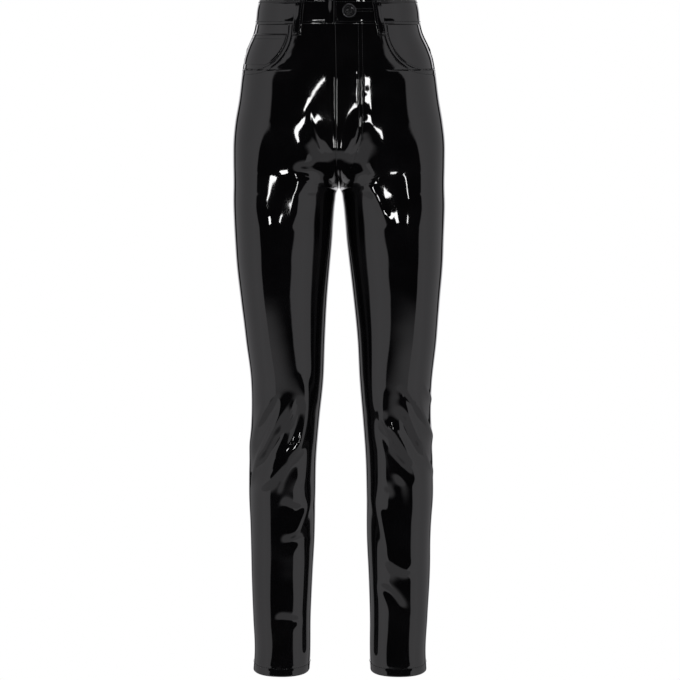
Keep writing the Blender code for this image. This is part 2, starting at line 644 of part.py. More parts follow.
def button(collection, finish):
    """A shank button, turned, seated on the outer band."""
    segments = BUTTON_SEGMENTS
    seat, above = (ring_point(np.array([BUTTON_TURN]), np.array([BUTTON_LEVEL]), lift)[0]
                   for lift in (BAND_PROUD + SEAM + BUTTON_CLEAR, 10 * MM))
    facing = (above - seat) / np.linalg.norm(above - seat)
    across = np.cross(np.array([0.0, 0.0, 1.0]), facing)
    across /= np.linalg.norm(across)
    upward = np.cross(facing, across)
    vertices, faces = [], []
    for ring in BUTTON_PROFILE:
        distance, height = ring.radius * BUTTON_RADIUS, ring.height * BUTTON_THICKNESS
        for index in range(segments):
            angle = 2 * math.pi * index / segments
            vertices.append(seat + across * distance * math.cos(angle)
                            + upward * distance * math.sin(angle) + facing * height)
    for ring in range(len(BUTTON_PROFILE) - 1):
        for index in range(segments):
            a = ring * segments + index
            b = ring * segments + (index + 1) % segments
            faces.append((a, b, b + segments, a + segments))
    faces.append(tuple(range(segments))[::-1])
    last = (len(BUTTON_PROFILE) - 1) * segments
    faces.append(tuple(last + index for index in range(segments)))
    return add_object("button", vertices, faces, collection, finish)


def hem(side, collection, finish):
    """The turned-up end of one leg, lying inside it."""
    columns = 2 * PANEL_COLUMNS
    around = np.arange(columns)[None, :] / columns + np.zeros((HEM_ROWS + 1, 1))
    level = np.linspace(HEM + HEM_TURN, HEM, HEM_ROWS + 1)[:, None] + 0.0 * around
    lift = -CLOTH - SEAM
    outer = cloth_point(side, around, level, lift)
    inner = cloth_point(side, around, level, lift - HEM_CLOTH)
    return wall(f"hem_{side_name(side)}", outer, inner, collection, finish, closed=True,
                mirrored=side < 0)


LoopPlace = namedtuple("LoopPlace", "name turn_top turn_bottom")
BELT_LOOPS = [
    LoopPlace("belt_loop_front_left", 0.0678, 0.0729),
    LoopPlace("belt_loop_front_right", -0.0666, -0.0685),
    LoopPlace("belt_loop_back_left", 0.3950, 0.3950),
    LoopPlace("belt_loop_back_right", -0.3950, -0.3950),
    LoopPlace("belt_loop_centre_back", 0.5000, 0.5000),
]


def build():
    for old in list(bpy.data.objects):
        bpy.data.objects.remove(old, do_unlink=True)
    collection = bpy.data.collections.new("vinyl_trousers")
    bpy.context.scene.collection.children.link(collection)
    vinyl = material("patent_vinyl", (0.006, 0.006, 0.007), 0.08)
    metal = material("black_button", (0.02, 0.02, 0.022), 0.2, 0.6)
    for side in (1, -1):
        front_panel(side, collection, vinyl)
        back_panel(side, collection, vinyl)
        yoke(side, collection, vinyl)
        pocket_facing(side, collection, vinyl)
        back_pocket(side, collection, vinyl)
        waistband(side, collection, vinyl)
        hem(side, collection, vinyl)
    coin_pocket(collection, vinyl)
    for place in BELT_LOOPS:
        belt_loop(place.name, place.turn_top, place.turn_bottom, collection, vinyl)
    button(collection, metal)


build()
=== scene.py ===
"""High-waisted skinny five-pocket trousers in black patent vinyl, dressed for looks.

Metres, +Z up, the front faces -Y, +X is the wearer's left, as in the solids.  Every cloth
piece is a thin closed shell on the form of its solid: the same section tables and folds,
sampled finely, with the smaller creases, seams, puckers and stitching added.
"""

import logging
import math
from dataclasses import dataclass
from enum import Enum
from typing import Callable, NamedTuple, Optional, Sequence

import bpy
import numpy as np
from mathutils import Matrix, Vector
from mathutils.kdtree import KDTree

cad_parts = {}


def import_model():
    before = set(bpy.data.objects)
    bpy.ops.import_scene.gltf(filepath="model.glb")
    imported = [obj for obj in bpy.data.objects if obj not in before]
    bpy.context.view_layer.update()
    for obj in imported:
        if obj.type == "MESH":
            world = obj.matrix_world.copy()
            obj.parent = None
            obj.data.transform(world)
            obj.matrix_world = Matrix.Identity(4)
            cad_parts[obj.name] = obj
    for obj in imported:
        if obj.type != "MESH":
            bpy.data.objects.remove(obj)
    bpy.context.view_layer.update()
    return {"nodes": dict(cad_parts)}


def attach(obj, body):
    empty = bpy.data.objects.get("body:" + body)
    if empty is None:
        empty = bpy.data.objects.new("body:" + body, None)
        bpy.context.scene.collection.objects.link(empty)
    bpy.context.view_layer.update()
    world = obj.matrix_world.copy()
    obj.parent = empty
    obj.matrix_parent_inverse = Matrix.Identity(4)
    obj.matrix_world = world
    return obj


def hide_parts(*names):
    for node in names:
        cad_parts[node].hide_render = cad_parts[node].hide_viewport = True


MM = 0.001
LOG = logging.getLogger("trousers")
ROOT = "root"

# --- sizes that the solids have, in metres ---------------------------------------------
CLOTH = 1.5 * MM
SEAM = 0.3 * MM
BAND_HEIGHT = 35.0 * MM
BAND_THICKNESS = 2.4 * MM
BAND_PROUD = 0.6 * MM
HEM = -1036.0 * MM
HEM_TURN = 12.0 * MM
FORK = -283.0 * MM
FORK_SIDE = -252.0 * MM
FORK_DEPTH = 4.0 * MM
RISE_CURVE_FRONT = -214.0 * MM
RISE_CURVE_BACK = -150.0 * MM
ROWS_LEVEL_AGAIN = -352.0 * MM
BLEND_TOP = -140.0 * MM
BLEND_BOTTOM = -332.0 * MM
INNER_REACH = 0.085
DIP_REACH = 0.17
GROIN_FILL = 8.5 * MM
GROIN_AT = 0.13
GROIN_REACH = 0.07
MOUTH_SIDE = 144.5 * MM
MOUTH_WIDTH = 71.5 * MM
MOUTH_DEPTH = 66.5 * MM
MOUTH_SQUARENESS = 0.8
MOUTH_GAP = 0.8 * MM
FACING_LIFT = -CLOTH - SEAM
COIN_CLOTH = 1.0 * MM
YOKE_AT_SIDE = -74.0 * MM
YOKE_AT_CENTRE = -108.0 * MM
POCKET_OUTER = 0.640
POCKET_INNER = 0.921
POCKET_TAPER = 0.018
POCKET_TOP = -121.0 * MM
POCKET_TILT = 9.0 * MM
POCKET_HEIGHT = 134.0 * MM
POCKET_POINT = 24.0 * MM
OVERLAP_END = -0.0060
UNDERLAP_END = 0.040
LAP_START = 0.014
LAP_DEEP = 0.0008
WAIST_ROUND = 670.0 * MM
LOOP_HALF_WIDTH = 5.2 * MM
LOOP_BULGE = 1.6 * MM
LOOP_TOP = -1.5 * MM
LOOP_BOTTOM = -52.0 * MM
LOOP_STEP_START = -36.0 * MM
LOOP_STEP_END = -44.0 * MM
BUTTON_TURN = 0.0184
BUTTON_LEVEL = -16.5 * MM
BUTTON_RADIUS = 10.5 * MM
BUTTON_THICKNESS = 3.6 * MM
HEM_CLOTH = 0.8 * MM
SQUARENESS = 0.02
FRONT_SQUARENESS = 0.04
LEG_SWELL = 6.5 * MM
SWELL_TOP = -430.0 * MM
SWELL_BOTTOM = -620.0 * MM
SEAT_GROOVE = 5.0 * MM
SEAT_GROOVE_WIDTH = 26.0 * MM
SEAT_GROOVE_MIDDLE = -215.0 * MM
SEAT_GROOVE_REACH = 70.0 * MM
FOLD_FADE_IN = (-0.12, 0.25)
FOLD_FADE_OUT = (1.12, 0.75)
FACE_CHANGE = (0.53, 0.45)


class TrunkRow(NamedTuple):
    """One section of the trunk, in millimetres."""

    height: float
    half_width: float
    front: float
    back: float
    lean: float


class LegRow(NamedTuple):
    """One section of a leg, in millimetres."""

    height: float
    outer: float
    inner: float
    front: float
    back: float
    lean: float


class Fold(NamedTuple):
    """A fold's line on the garment as seen from its face, in millimetres."""

    leg: int
    face: str
    x_start: float
    z_start: float
    x_end: float
    z_end: float
    bow: float
    width: float
    height: float


TRUNK = [
    TrunkRow(5.0, 116.5, -85.5, 87.5, -1.5),
    TrunkRow(0.0, 117.5, -86.0, 88.0, -1.5),
    TrunkRow(-14.0, 120.6, -88.0, 90.5, -1.5),
    TrunkRow(-31.0, 122.8, -90.0, 93.0, -1.5),
    TrunkRow(-49.0, 127.0, -92.0, 97.0, -1.2),
    TrunkRow(-67.0, 135.0, -94.0, 101.0, -0.8),
    TrunkRow(-84.0, 141.2, -96.0, 105.0, -0.5),
    TrunkRow(-102.0, 144.8, -98.0, 108.5, -0.2),
    TrunkRow(-150.0, 151.5, -101.5, 116.5, 0.0),
    TrunkRow(-180.0, 157.0, -103.0, 120.0, 0.0),
    TrunkRow(-210.0, 160.3, -103.0, 121.5, 0.0),
    TrunkRow(-240.0, 160.8, -101.0, 120.0, 0.0),
    TrunkRow(-270.0, 160.4, -98.0, 114.0, 0.0),
    TrunkRow(-300.0, 160.9, -95.0, 106.0, 0.0),
    TrunkRow(-340.0, 160.0, -92.0, 99.0, 0.0),
]
LEG = [
    LegRow(-150.0, 151.5, 0.0, -96.0, 108.0, 0.0),
    LegRow(-180.0, 157.0, 0.0, -96.0, 110.0, 0.0),
    LegRow(-210.0, 160.3, 0.0, -96.0, 110.0, 0.0),
    LegRow(-240.0, 160.8, 0.0, -95.5, 108.0, 0.0),
    LegRow(-281.0, 160.4, 0.2, -93.5, 101.0, 0.0),
    LegRow(-288.0, 160.6, 3.4, -93.0, 99.5, 0.0),
    LegRow(-300.0, 160.9, 5.3, -92.0, 97.0, 0.1),
    LegRow(-330.0, 160.3, 8.3, -90.0, 92.5, 0.3),
    LegRow(-361.0, 159.1, 10.6, -87.5, 89.0, 0.6),
    LegRow(-391.0, 157.8, 13.7, -84.5, 86.5, 1.0),
    LegRow(-452.0, 152.2, 19.8, -78.0, 81.5, 2.0),
    LegRow(-514.0, 146.5, 24.4, -70.5, 76.0, 3.4),
    LegRow(-576.0, 139.6, 27.2, -62.5, 70.0, 3.8),
    LegRow(-638.0, 138.6, 33.0, -54.5, 66.0, 3.2),
    LegRow(-700.0, 141.8, 37.6, -48.0, 69.0, 3.0),
    LegRow(-763.0, 142.8, 39.3, -43.5, 71.0, 3.0),
    LegRow(-827.0, 140.9, 40.3, -40.5, 68.0, 2.6),
    LegRow(-890.0, 139.6, 43.4, -38.0, 62.0, 2.4),
    LegRow(-954.0, 137.0, 45.9, -36.5, 58.0, 2.0),
    LegRow(-1014.0, 134.6, 46.2, -36.0, 57.0, 1.6),
    LegRow(-1036.0, 136.2, 47.0, -37.0, 58.0, 1.4),
]
# the large folds, as the solids have them; leg -1 is the wearer's right
FOLDS = [
    Fold(-1, "front", -64, -251, -2, -250, -1, 8, -3.6),
    Fold(-1, "front", -60, -262, -66, -330, 0, 9, 1.6),
    Fold(1, "front", 8, -250, 48, -266, 2, 8, -3.8),
    Fold(1, "front", 32, -258, 70, -326, 5, 7, 2.8),
    Fold(-1, "front", -57, -561, -71, -686, 9, 8, 3.4),
    Fold(-1, "front", -62, -655, -125, -738, 5, 9, 3.6),
    Fold(-1, "front", -81, -595, -133, -700, 2, 8, 3.4),
    Fold(-1, "front", -110, -596, -139, -694, -2, 8, 3),
    Fold(-1, "front", -86, -636, -129, -718, -1, 7, -3.2),
    Fold(-1, "front", -63, -601, -80, -674, 5, 6, -3),
    Fold(-1, "front", -97, -598, -134, -697, -1, 6, -2.4),
    Fold(1, "front", 63, -591, 92, -695, -9, 8, 3.2),
    Fold(1, "front", 61, -636, 107, -721, -5, 7, -3.2),
    Fold(1, "front", 91, -616, 128, -705, -3, 8, -3.4),
    Fold(1, "front", 72, -632, 112, -696, -1, 7, 3),
    Fold(1, "front", 94, -601, 127, -676, -2, 8, 3.2),
    Fold(1, "front", 112, -589, 141, -679, 1, 7, 3),
    Fold(-1, "front", -54, -662, -60, -738, 3, 12, 2.0),
    Fold(-1, "front", -90, -760, -58, -774, -3, 8, -2.2),
    Fold(-1, "front", -48, -757, -78, -816, 4, 7, 2.4),
    Fold(-1, "front", -90, -826, -46, -820, 3, 9, -2.2),
    Fold(-1, "front", -100, -946, -62, -952, 2, 7, -1.8),
    Fold(1, "front", 68, -657, 72, -744, -4, 13, 2.0),
    Fold(1, "front", 86, -718, 93, -784, 3, 8, -2.0),
    Fold(1, "front", 50, -757, 78, -874, 4, 8, 2.4),
    Fold(1, "front", 68, -842, 110, -868, -3, 9, 2.0),
    Fold(1, "front", 60, -892, 98, -938, 4, 8, -2.0),
    Fold(-1, "back", -34, -606, -130, -588, -5, 11, -3.8),
    Fold(-1, "back", -34, -634, -132, -640, 5, 11, 3.8),
    Fold(-1, "back", -38, -664, -130, -646, -5, 10, -3.4),
    Fold(-1, "back", -42, -694, -134, -706, 4, 11, 3.0),
    Fold(-1, "back", -16, -300, -122, -284, 7, 12, -3.2),
    Fold(-1, "back", -18, -334, -96, -316, 6, 12, -2.2),
    Fold(1, "back", 34, -602, 130, -592, 5, 11, -3.8),
    Fold(1, "back", 34, -630, 132, -642, -5, 11, 3.8),
    Fold(1, "back", 38, -660, 130, -650, 5, 10, -3.4),
    Fold(1, "back", 42, -692, 134, -702, -4, 11, 3.0),
    Fold(1, "back", 16, -303, 124, -286, -7, 12, -3.2),
    Fold(1, "back", 18, -338, 94, -318, -6, 12, -2.2),
    Fold(-1, "back", -54, -888, -124, -912, 4, 13, 2.0),
    Fold(1, "back", 56, -894, 126, -906, -4, 13, 2.0),
]
# smaller creases, which only the shells have
CREASES = [
    Fold(-1, "front", -49, -148, -52, -256, 0, 12, 0.8),
    Fold(-1, "front", -50, -196, -52, -252, 0, 12, 0.9),
    Fold(-1, "front", -97, -246, -98, -312, 0, 10, -0.6),
    Fold(1, "front", 45, -146, 50, -226, 0, 12, 0.8),
    Fold(-1, "front", -43, -164, -4, -248, -7, 2.0, -0.5),
    Fold(-1, "front", -72, -600, -90, -648, 1, 2.6, 1.2),
    Fold(-1, "front", -63, -602, -84, -646, 1, 2.4, 1.1),
    Fold(-1, "front", -107, -608, -127, -652, -0, 2.4, -1.3),
    Fold(-1, "front", -120, -674, -138, -739, -3, 2.4, 1.4),
    Fold(-1, "front", -87, -648, -120, -704, -0, 2.6, -1.2),
    Fold(-1, "front", -74, -647, -111, -706, 3, 3, 0.9),
    Fold(-1, "front", -77, -689, -94, -740, -2, 3, 1.2),
    Fold(1, "front", 89, -581, 118, -637, 2, 3.5, -1.7),
    Fold(1, "front", 114, -602, 141, -671, 1, 2.4, 1.4),
    Fold(1, "front", 126, -679, 143, -726, 1, 2.4, 1.4),
    Fold(1, "front", 123, -575, 140, -612, 1, 2.6, 1.6),
    Fold(1, "front", 65, -617, 86, -671, -2, 2.4, -1),
    Fold(1, "front", 75, -635, 103, -680, 1, 2.4, 1),
]


class Side(Enum):
    """The wearer's side, as the sign of X."""

    LEFT = 1
    RIGHT = -1

    @property
    def word(self) -> str:
        """The side as piece names have it."""
        return self.name.lower()


# --- the surface that every piece of cloth lies on ----------------------------------------
def smoothstep(start: float, end: float, value: np.ndarray) -> np.ndarray:
    """0 at start, 1 at end, with level ends."""
    x = np.clip((np.asarray(value, float) - start) / (end - start), 0.0, 1.0)
    return x * x * (3.0 - 2.0 * x)


def column(table: Sequence[NamedTuple], name: str, height: np.ndarray) -> np.ndarray:
    """One column of a section table at any height.

    Args:
        table: rows in millimetres.
        name: the column's name.
        height: heights in metres.

    Returns:
        The column's values in metres, on a smooth curve through the rows.
    """
    rows = sorted(table, key=lambda row: row.height)
    heights = np.array([row.height for row in rows]) * MM
    values = np.array([getattr(row, name) for row in rows]) * MM
    slopes = np.gradient(values, heights)
    at = np.clip(height, heights[0], heights[-1])
    index = np.clip(np.searchsorted(heights, at, side="right") - 1, 0, len(heights) - 2)
    span = heights[index + 1] - heights[index]
    s = (at - heights[index]) / span
    return ((1 + 2 * s) * (1 - s) ** 2 * values[index] + s * (1 - s) ** 2 * span * slopes[index]
            + s * s * (3 - 2 * s) * values[index + 1] + s * s * (s - 1) * span * slopes[index + 1])


def rounded(angle: np.ndarray, squareness: np.ndarray | float) -> tuple[np.ndarray, np.ndarray]:
    """Sine and cosine of a unit section that is a little squarer than a circle.

    Args:
        angle: angles, in radians.
        squareness: 0 for a circle.

    Returns:
        Sine and cosine.
    """
    scale = 1.0 / (1.0 - squareness)
    sine = scale * (np.sin(angle) + squareness * np.sin(3 * angle))
    cosine = scale * (np.cos(angle) - squareness * np.cos(3 * angle))
    return sine, cosine


def lattice_noise(points: np.ndarray, scale: float, seed: float) -> np.ndarray:
    """Smooth noise from -1 to 1 that is the same each run.

    Args:
        points: an array of points, xyz last, in metres.
        scale: size of a noise cell in metres.
        seed: shifts the pattern.

    Returns:
        One value a point.
    """
    place = points / scale + seed * 17.31
    cell = np.floor(place)
    share = place - cell
    share = share ** 3 * (share * (share * 6 - 15) + 10)
    total = np.zeros(points.shape[:-1])
    for corner in np.ndindex(2, 2, 2):
        at = cell + np.array(corner)
        mix = at @ np.array([127.1, 311.7, 74.7]) + seed * 53.7
        value = np.sin(mix) * 43758.5453
        value = value - np.floor(value)
        weight = np.prod(np.where(np.array(corner) == 1, share, 1.0 - share), axis=-1)
        total += weight * value
    return total * 2.0 - 1.0


def fold_relief(folds: Sequence[Fold], leg: int, around: np.ndarray,
                points: np.ndarray) -> np.ndarray:
    """Height of some folds at some points, along the normal.

    Args:
        folds: the folds of both legs.
        leg: 1 for the wearer's left half, -1 for the right one.
        around: places round the half, which tell front from back.
        points: the points of the unfolded left half.

    Returns:
        Heights in metres.
    """
    relief = np.zeros(points.shape[:-1])
    face_front = smoothstep(*FACE_CHANGE, around)
    x, z = leg * points[..., 0], points[..., 2]
    for fold in folds:
        if fold.leg != leg:
            continue
        start = np.array([fold.x_start, fold.z_start]) * MM
        end = np.array([fold.x_end, fold.z_end]) * MM
        length = np.linalg.norm(end - start)
        along_x, along_z = (end - start) / length
        along = ((x - start[0]) * along_x + (z - start[1]) * along_z) / length
        across = (x - start[0]) * -along_z + (z - start[1]) * along_x
        inside = np.clip(along, 0.0, 1.0)
        across = across - fold.bow * MM * 4 * inside * (1 - inside)
        fade = smoothstep(*FOLD_FADE_IN, along) * smoothstep(*FOLD_FADE_OUT, along)
        face = face_front if fold.face == "front" else 1.0 - face_front
        relief += fold.height * MM * np.exp(-(across / (fold.width * MM)) ** 2) * fade * face
    edge = np.minimum(around, 1.0 - around)
    return relief * smoothstep(0.0, 0.05, edge)


@dataclass(frozen=True)
class Garment:
    """The trousers' surface: places on it are given by `around` and `level`.

    `around` is 0 at the centre front or inseam, 0.25 at the middle of the leg's front, 0.5
    at the side seam and 1 at the centre back or inseam.  `level` is the row's height at the
    side seam.
    """

    ripple: float = 0.12 * MM       # slow waves of the vinyl between its folds
    ripple_size: float = 34.0 * MM
    buckle: float = 0.75 * MM       # and the larger dents below the knee
    buckle_size: float = 42.0 * MM

    def trunk_xy(self, around: np.ndarray, height: np.ndarray) -> tuple[np.ndarray, np.ndarray]:
        """Half of the trunk's section.

        Args:
            around: places round the half.
            height: heights, in metres.

        Returns:
            x and y.
        """
        half_width = column(TRUNK, "half_width", height)
        front = column(TRUNK, "front", height)
        back = column(TRUNK, "back", height)
        squareness = SQUARENESS + (FRONT_SQUARENESS - SQUARENESS) * smoothstep(
            0.62, 0.38, around)
        sine, cosine = rounded(math.pi * around, squareness)
        x = SEAM / 2 + (half_width - SEAM / 2) * sine
        y = (front + back) / 2 - (back - front) / 2 * cosine
        reach = np.exp(-((height - SEAT_GROOVE_MIDDLE) / SEAT_GROOVE_REACH) ** 2)
        groove = SEAT_GROOVE * reach * np.exp(-(x / SEAT_GROOVE_WIDTH) ** 2)
        return x, y - groove * smoothstep(0.6, 0.8, around)

    def leg_xy(self, around: np.ndarray, height: np.ndarray) -> tuple[np.ndarray, np.ndarray]:
        """One leg's section.

        Args:
            around: places round the half.
            height: heights, in metres.

        Returns:
            x and y.
        """
        outer = column(LEG, "outer", height)
        inner = np.maximum(column(LEG, "inner", height), SEAM / 2)
        front = column(LEG, "front", height)
        back = column(LEG, "back", height)
        sine, cosine = rounded(2 * math.pi * around, SQUARENESS)
        x = (outer + inner) / 2 - (outer - inner) / 2 * cosine
        swell = LEG_SWELL * smoothstep(SWELL_BOTTOM, SWELL_TOP, height)
        y = (front + back) / 2 - (back - front) / 2 * sine + swell * np.sin(4 * math.pi * around)
        return x, y

    def base(self, around: np.ndarray, level: np.ndarray) -> np.ndarray:
        """Points of the wearer's left half without folds.

        Args:
            around: places round the half.
            level: heights, in metres.

        Returns:
            The points.
        """
        around, level = np.broadcast_arrays(np.asarray(around, float), np.asarray(level, float))
        inner_end = np.minimum(around, 1.0 - around)
        top = RISE_CURVE_FRONT + (RISE_CURVE_BACK - RISE_CURVE_FRONT) * (around > 0.5)
        share = np.clip((top - level) / (top - FORK_SIDE), 0.0, 1.0)
        ease = (top - FORK_SIDE) / (top - FORK) * 2 / math.pi
        angle = (ease + (1.0 - ease) * share) * share * math.pi / 2
        curve_height = top - (top - FORK) * np.sin(angle)
        dip_above = np.where(level < top, level - curve_height, 0.0)
        dip_below = (FORK_SIDE - FORK) * (1.0 - smoothstep(FORK_SIDE, ROWS_LEVEL_AGAIN, level))
        dip = np.where(level > FORK_SIDE, dip_above, dip_below)
        height = level - dip * np.exp(-(inner_end / DIP_REACH) ** 2)
        near = np.exp(-(inner_end / INNER_REACH) ** 2)
        legness = ((1 - near) * smoothstep(BLEND_TOP, BLEND_BOTTOM, level)
                   + near * (1.0 - np.cos(angle)))
        trunk_x, trunk_y = self.trunk_xy(around, height)
        leg_x, leg_y = self.leg_xy(around, height)
        shift = FORK_DEPTH - (column(LEG, "front", height) + column(LEG, "back", height)) / 2
        at_fork = near * smoothstep(ROWS_LEVEL_AGAIN, FORK_SIDE, level)
        x = (1 - legness) * trunk_x + legness * leg_x
        y = (1 - legness) * trunk_y + legness * (leg_y + shift * at_fork)
        filled = 4 * legness * (1 - legness) * np.exp(-((around - GROIN_AT) / GROIN_REACH) ** 2)
        return np.stack([x, y - GROIN_FILL * filled, height], axis=-1)

    def outward(self, around: np.ndarray, level: np.ndarray) -> tuple[np.ndarray, np.ndarray]:
        """Points of the unfolded left half and their unit normals.

        Args:
            around: places round the half.
            level: heights, in metres.

        Returns:
            Points and normals.
        """
        step_around, step_level = 0.002, 0.5 * MM
        centre = self.base(around, level)
        across = (self.base(np.minimum(around + step_around, 1.0), level)
                  - self.base(np.maximum(around - step_around, 0.0), level))
        down = self.base(around, level - step_level) - self.base(around, level + step_level)
        normal = np.cross(down, across)
        on_centre_seam = np.minimum(around, 1.0 - around) < 1e-9
        above_fork = (level > RISE_CURVE_FRONT) & on_centre_seam
        normal[..., 0] = np.where(above_fork, 0.0, normal[..., 0])
        normal /= np.maximum(np.linalg.norm(normal, axis=-1, keepdims=True), 1e-12)
        return centre, normal

    def point(self, side: Side, around: np.ndarray, level: np.ndarray,
              lift: np.ndarray | float = 0.0) -> np.ndarray:
        """Points of the finished cloth.

        Args:
            side: the half that they lie on.
            around: places round the half; below 0 they lie on the other half's front.
            level: row heights at the side seam.
            lift: distance out from the surface.

        Returns:
            An array of points, xyz last.
        """
        around, level, lift = np.broadcast_arrays(
            np.asarray(around, float), np.asarray(level, float), np.asarray(lift, float))
        beyond = around < 0.0
        own = self._half(side, np.abs(around), level, lift)
        if not beyond.any():
            return own
        other = self._half(Side(-side.value), np.abs(around), level, lift)
        return np.where(beyond[..., None], other, own)

    def _half(self, side: Side, around: np.ndarray, level: np.ndarray,
              lift: np.ndarray) -> np.ndarray:
        """Points of one half, with its folds, creases and ripple.

        Args:
            side: the half of the garment.
            around: places round the half.
            level: heights, in metres.
            lift: how far above the surface.

        Returns:
            The points.
        """
        points, normals = self.outward(around, level)
        relief = fold_relief(FOLDS, side.value, around, points)
        relief = relief + fold_relief(CREASES, side.value, around, points)
        mirrored = points * np.array([side.value, 1.0, 1.0])
        calm = smoothstep(0.0, 0.05, np.minimum(around, 1.0 - around))
        relief = relief + self.ripple * calm * lattice_noise(mirrored, self.ripple_size, 1.0)
        below_knee = smoothstep(-600 * MM, -760 * MM, mirrored[..., 2])
        stretched = mirrored * np.array([1.0, 1.0, 0.6])
        relief = relief + self.buckle * calm * below_knee * lattice_noise(
            stretched, self.buckle_size, 2.0)
        points = points + normals * (relief + lift)[..., None]
        height = points[..., 2]
        lean = np.where(height > -280.0 * MM, column(TRUNK, "lean", height),
                        column(LEG, "lean", height))
        points[..., 0] = side.value * points[..., 0] + lean
        return points

    def ring(self, turn: np.ndarray, level: np.ndarray,
             lift: np.ndarray | float) -> np.ndarray:
        """Points round the waist: turn 0 at the centre front, 0.5 at the centre back.

        Args:
            turn: places round the waist.
            level: heights, in metres.
            lift: how far above the surface.

        Returns:
            The points.
        """
        turn, level, lift = np.broadcast_arrays(
            np.asarray(turn, float), np.asarray(level, float), np.asarray(lift, float))
        wrapped = np.mod(turn, 1.0)
        left = wrapped <= 0.5
        around = np.where(left, 2 * wrapped, 2 * (1 - wrapped))
        on_left = self._half(Side.LEFT, around, level, lift)
        on_right = self._half(Side.RIGHT, around, level, lift)
        return np.where(left[..., None], on_left, on_right)

    def at_distances(self, level: float, start: float, end: float,
                     distances: Callable[[float], np.ndarray]) -> np.ndarray:
        """Places along one row, at distances measured on the cloth.

        Args:
            level: the row.
            start: value of `around` that the distances start from.
            end: value of `around` that they end at.
            distances: gives the wanted distances from the row's whole length.

        Returns:
            Values of `around`.
        """
        samples = np.linspace(start, end, 121)
        row = self.base(np.abs(samples), np.full(samples.shape, level))
        row[..., 0] *= np.where(samples < 0, -1.0, 1.0)
        steps = np.linalg.norm(np.diff(row, axis=0), axis=-1)
        length = np.concatenate([[0.0], np.cumsum(steps)])
        return np.interp(distances(float(length[-1])), length, samples)

    def around_at(self, distance: float, level: float) -> float:
        """The front's value of `around` where the surface is this far from the centre.

        Args:
            distance: metres from the centre.
            level: the height.

        Returns:
            The place round the half.
        """
        samples = np.linspace(0.0, 0.5, 201)
        x = self.base(samples, np.full(samples.shape, level))[..., 0]
        return float(np.interp(distance, x, samples))


def seam_around(level: np.ndarray) -> np.ndarray:
    """Half a seam's gap on a leg, as a value of `around`."""
    half_depth = (column(LEG, "back", level) - column(LEG, "front", level)) / 2
    return SEAM / 2 / (2 * math.pi * half_depth)


def inner_edge(level: np.ndarray) -> np.ndarray:
    """Start of a front panel at the inseam."""
    return seam_around(level) * smoothstep(FORK_SIDE + 25 * MM, FORK_SIDE, level)


def side_gap(level: np.ndarray) -> np.ndarray:
    """Half the side seam's gap as a value of `around`."""
    return seam_around(level) * (2.0 - smoothstep(BLEND_TOP, BLEND_BOTTOM, level))


def mouth_curve(garment: Garment, count: int, grow: float = 0.0) -> tuple[np.ndarray, np.ndarray]:
    """The pocket mouth's edge, a quarter of an oval round the top of the side seam.

    Args:
        garment: the surface.
        count: number of steps.
        grow: distance of the curve from the edge, on the panel's side.

    Returns:
        Levels and values of `around`, from the band down to the side seam.
    """
    top = -BAND_HEIGHT - SEAM
    levels, edges = [], []
    for index in range(count + 1):
        angle = math.pi / 2 * index / count
        level = top - (MOUTH_DEPTH + grow) * math.sin(angle)
        distance = MOUTH_SIDE - (MOUTH_WIDTH + grow) * abs(math.cos(angle)) ** MOUTH_SQUARENESS
        limit = 0.5 - float(side_gap(np.array(level)))
        levels.append(level)
        edges.append(min(garment.around_at(distance, level), limit))
    return np.array(levels), np.array(edges)


def yoke_line(around: np.ndarray) -> np.ndarray:
    """Level of the yoke seam."""
    return YOKE_AT_SIDE + (YOKE_AT_CENTRE - YOKE_AT_SIDE) * (around - 0.5) * 2


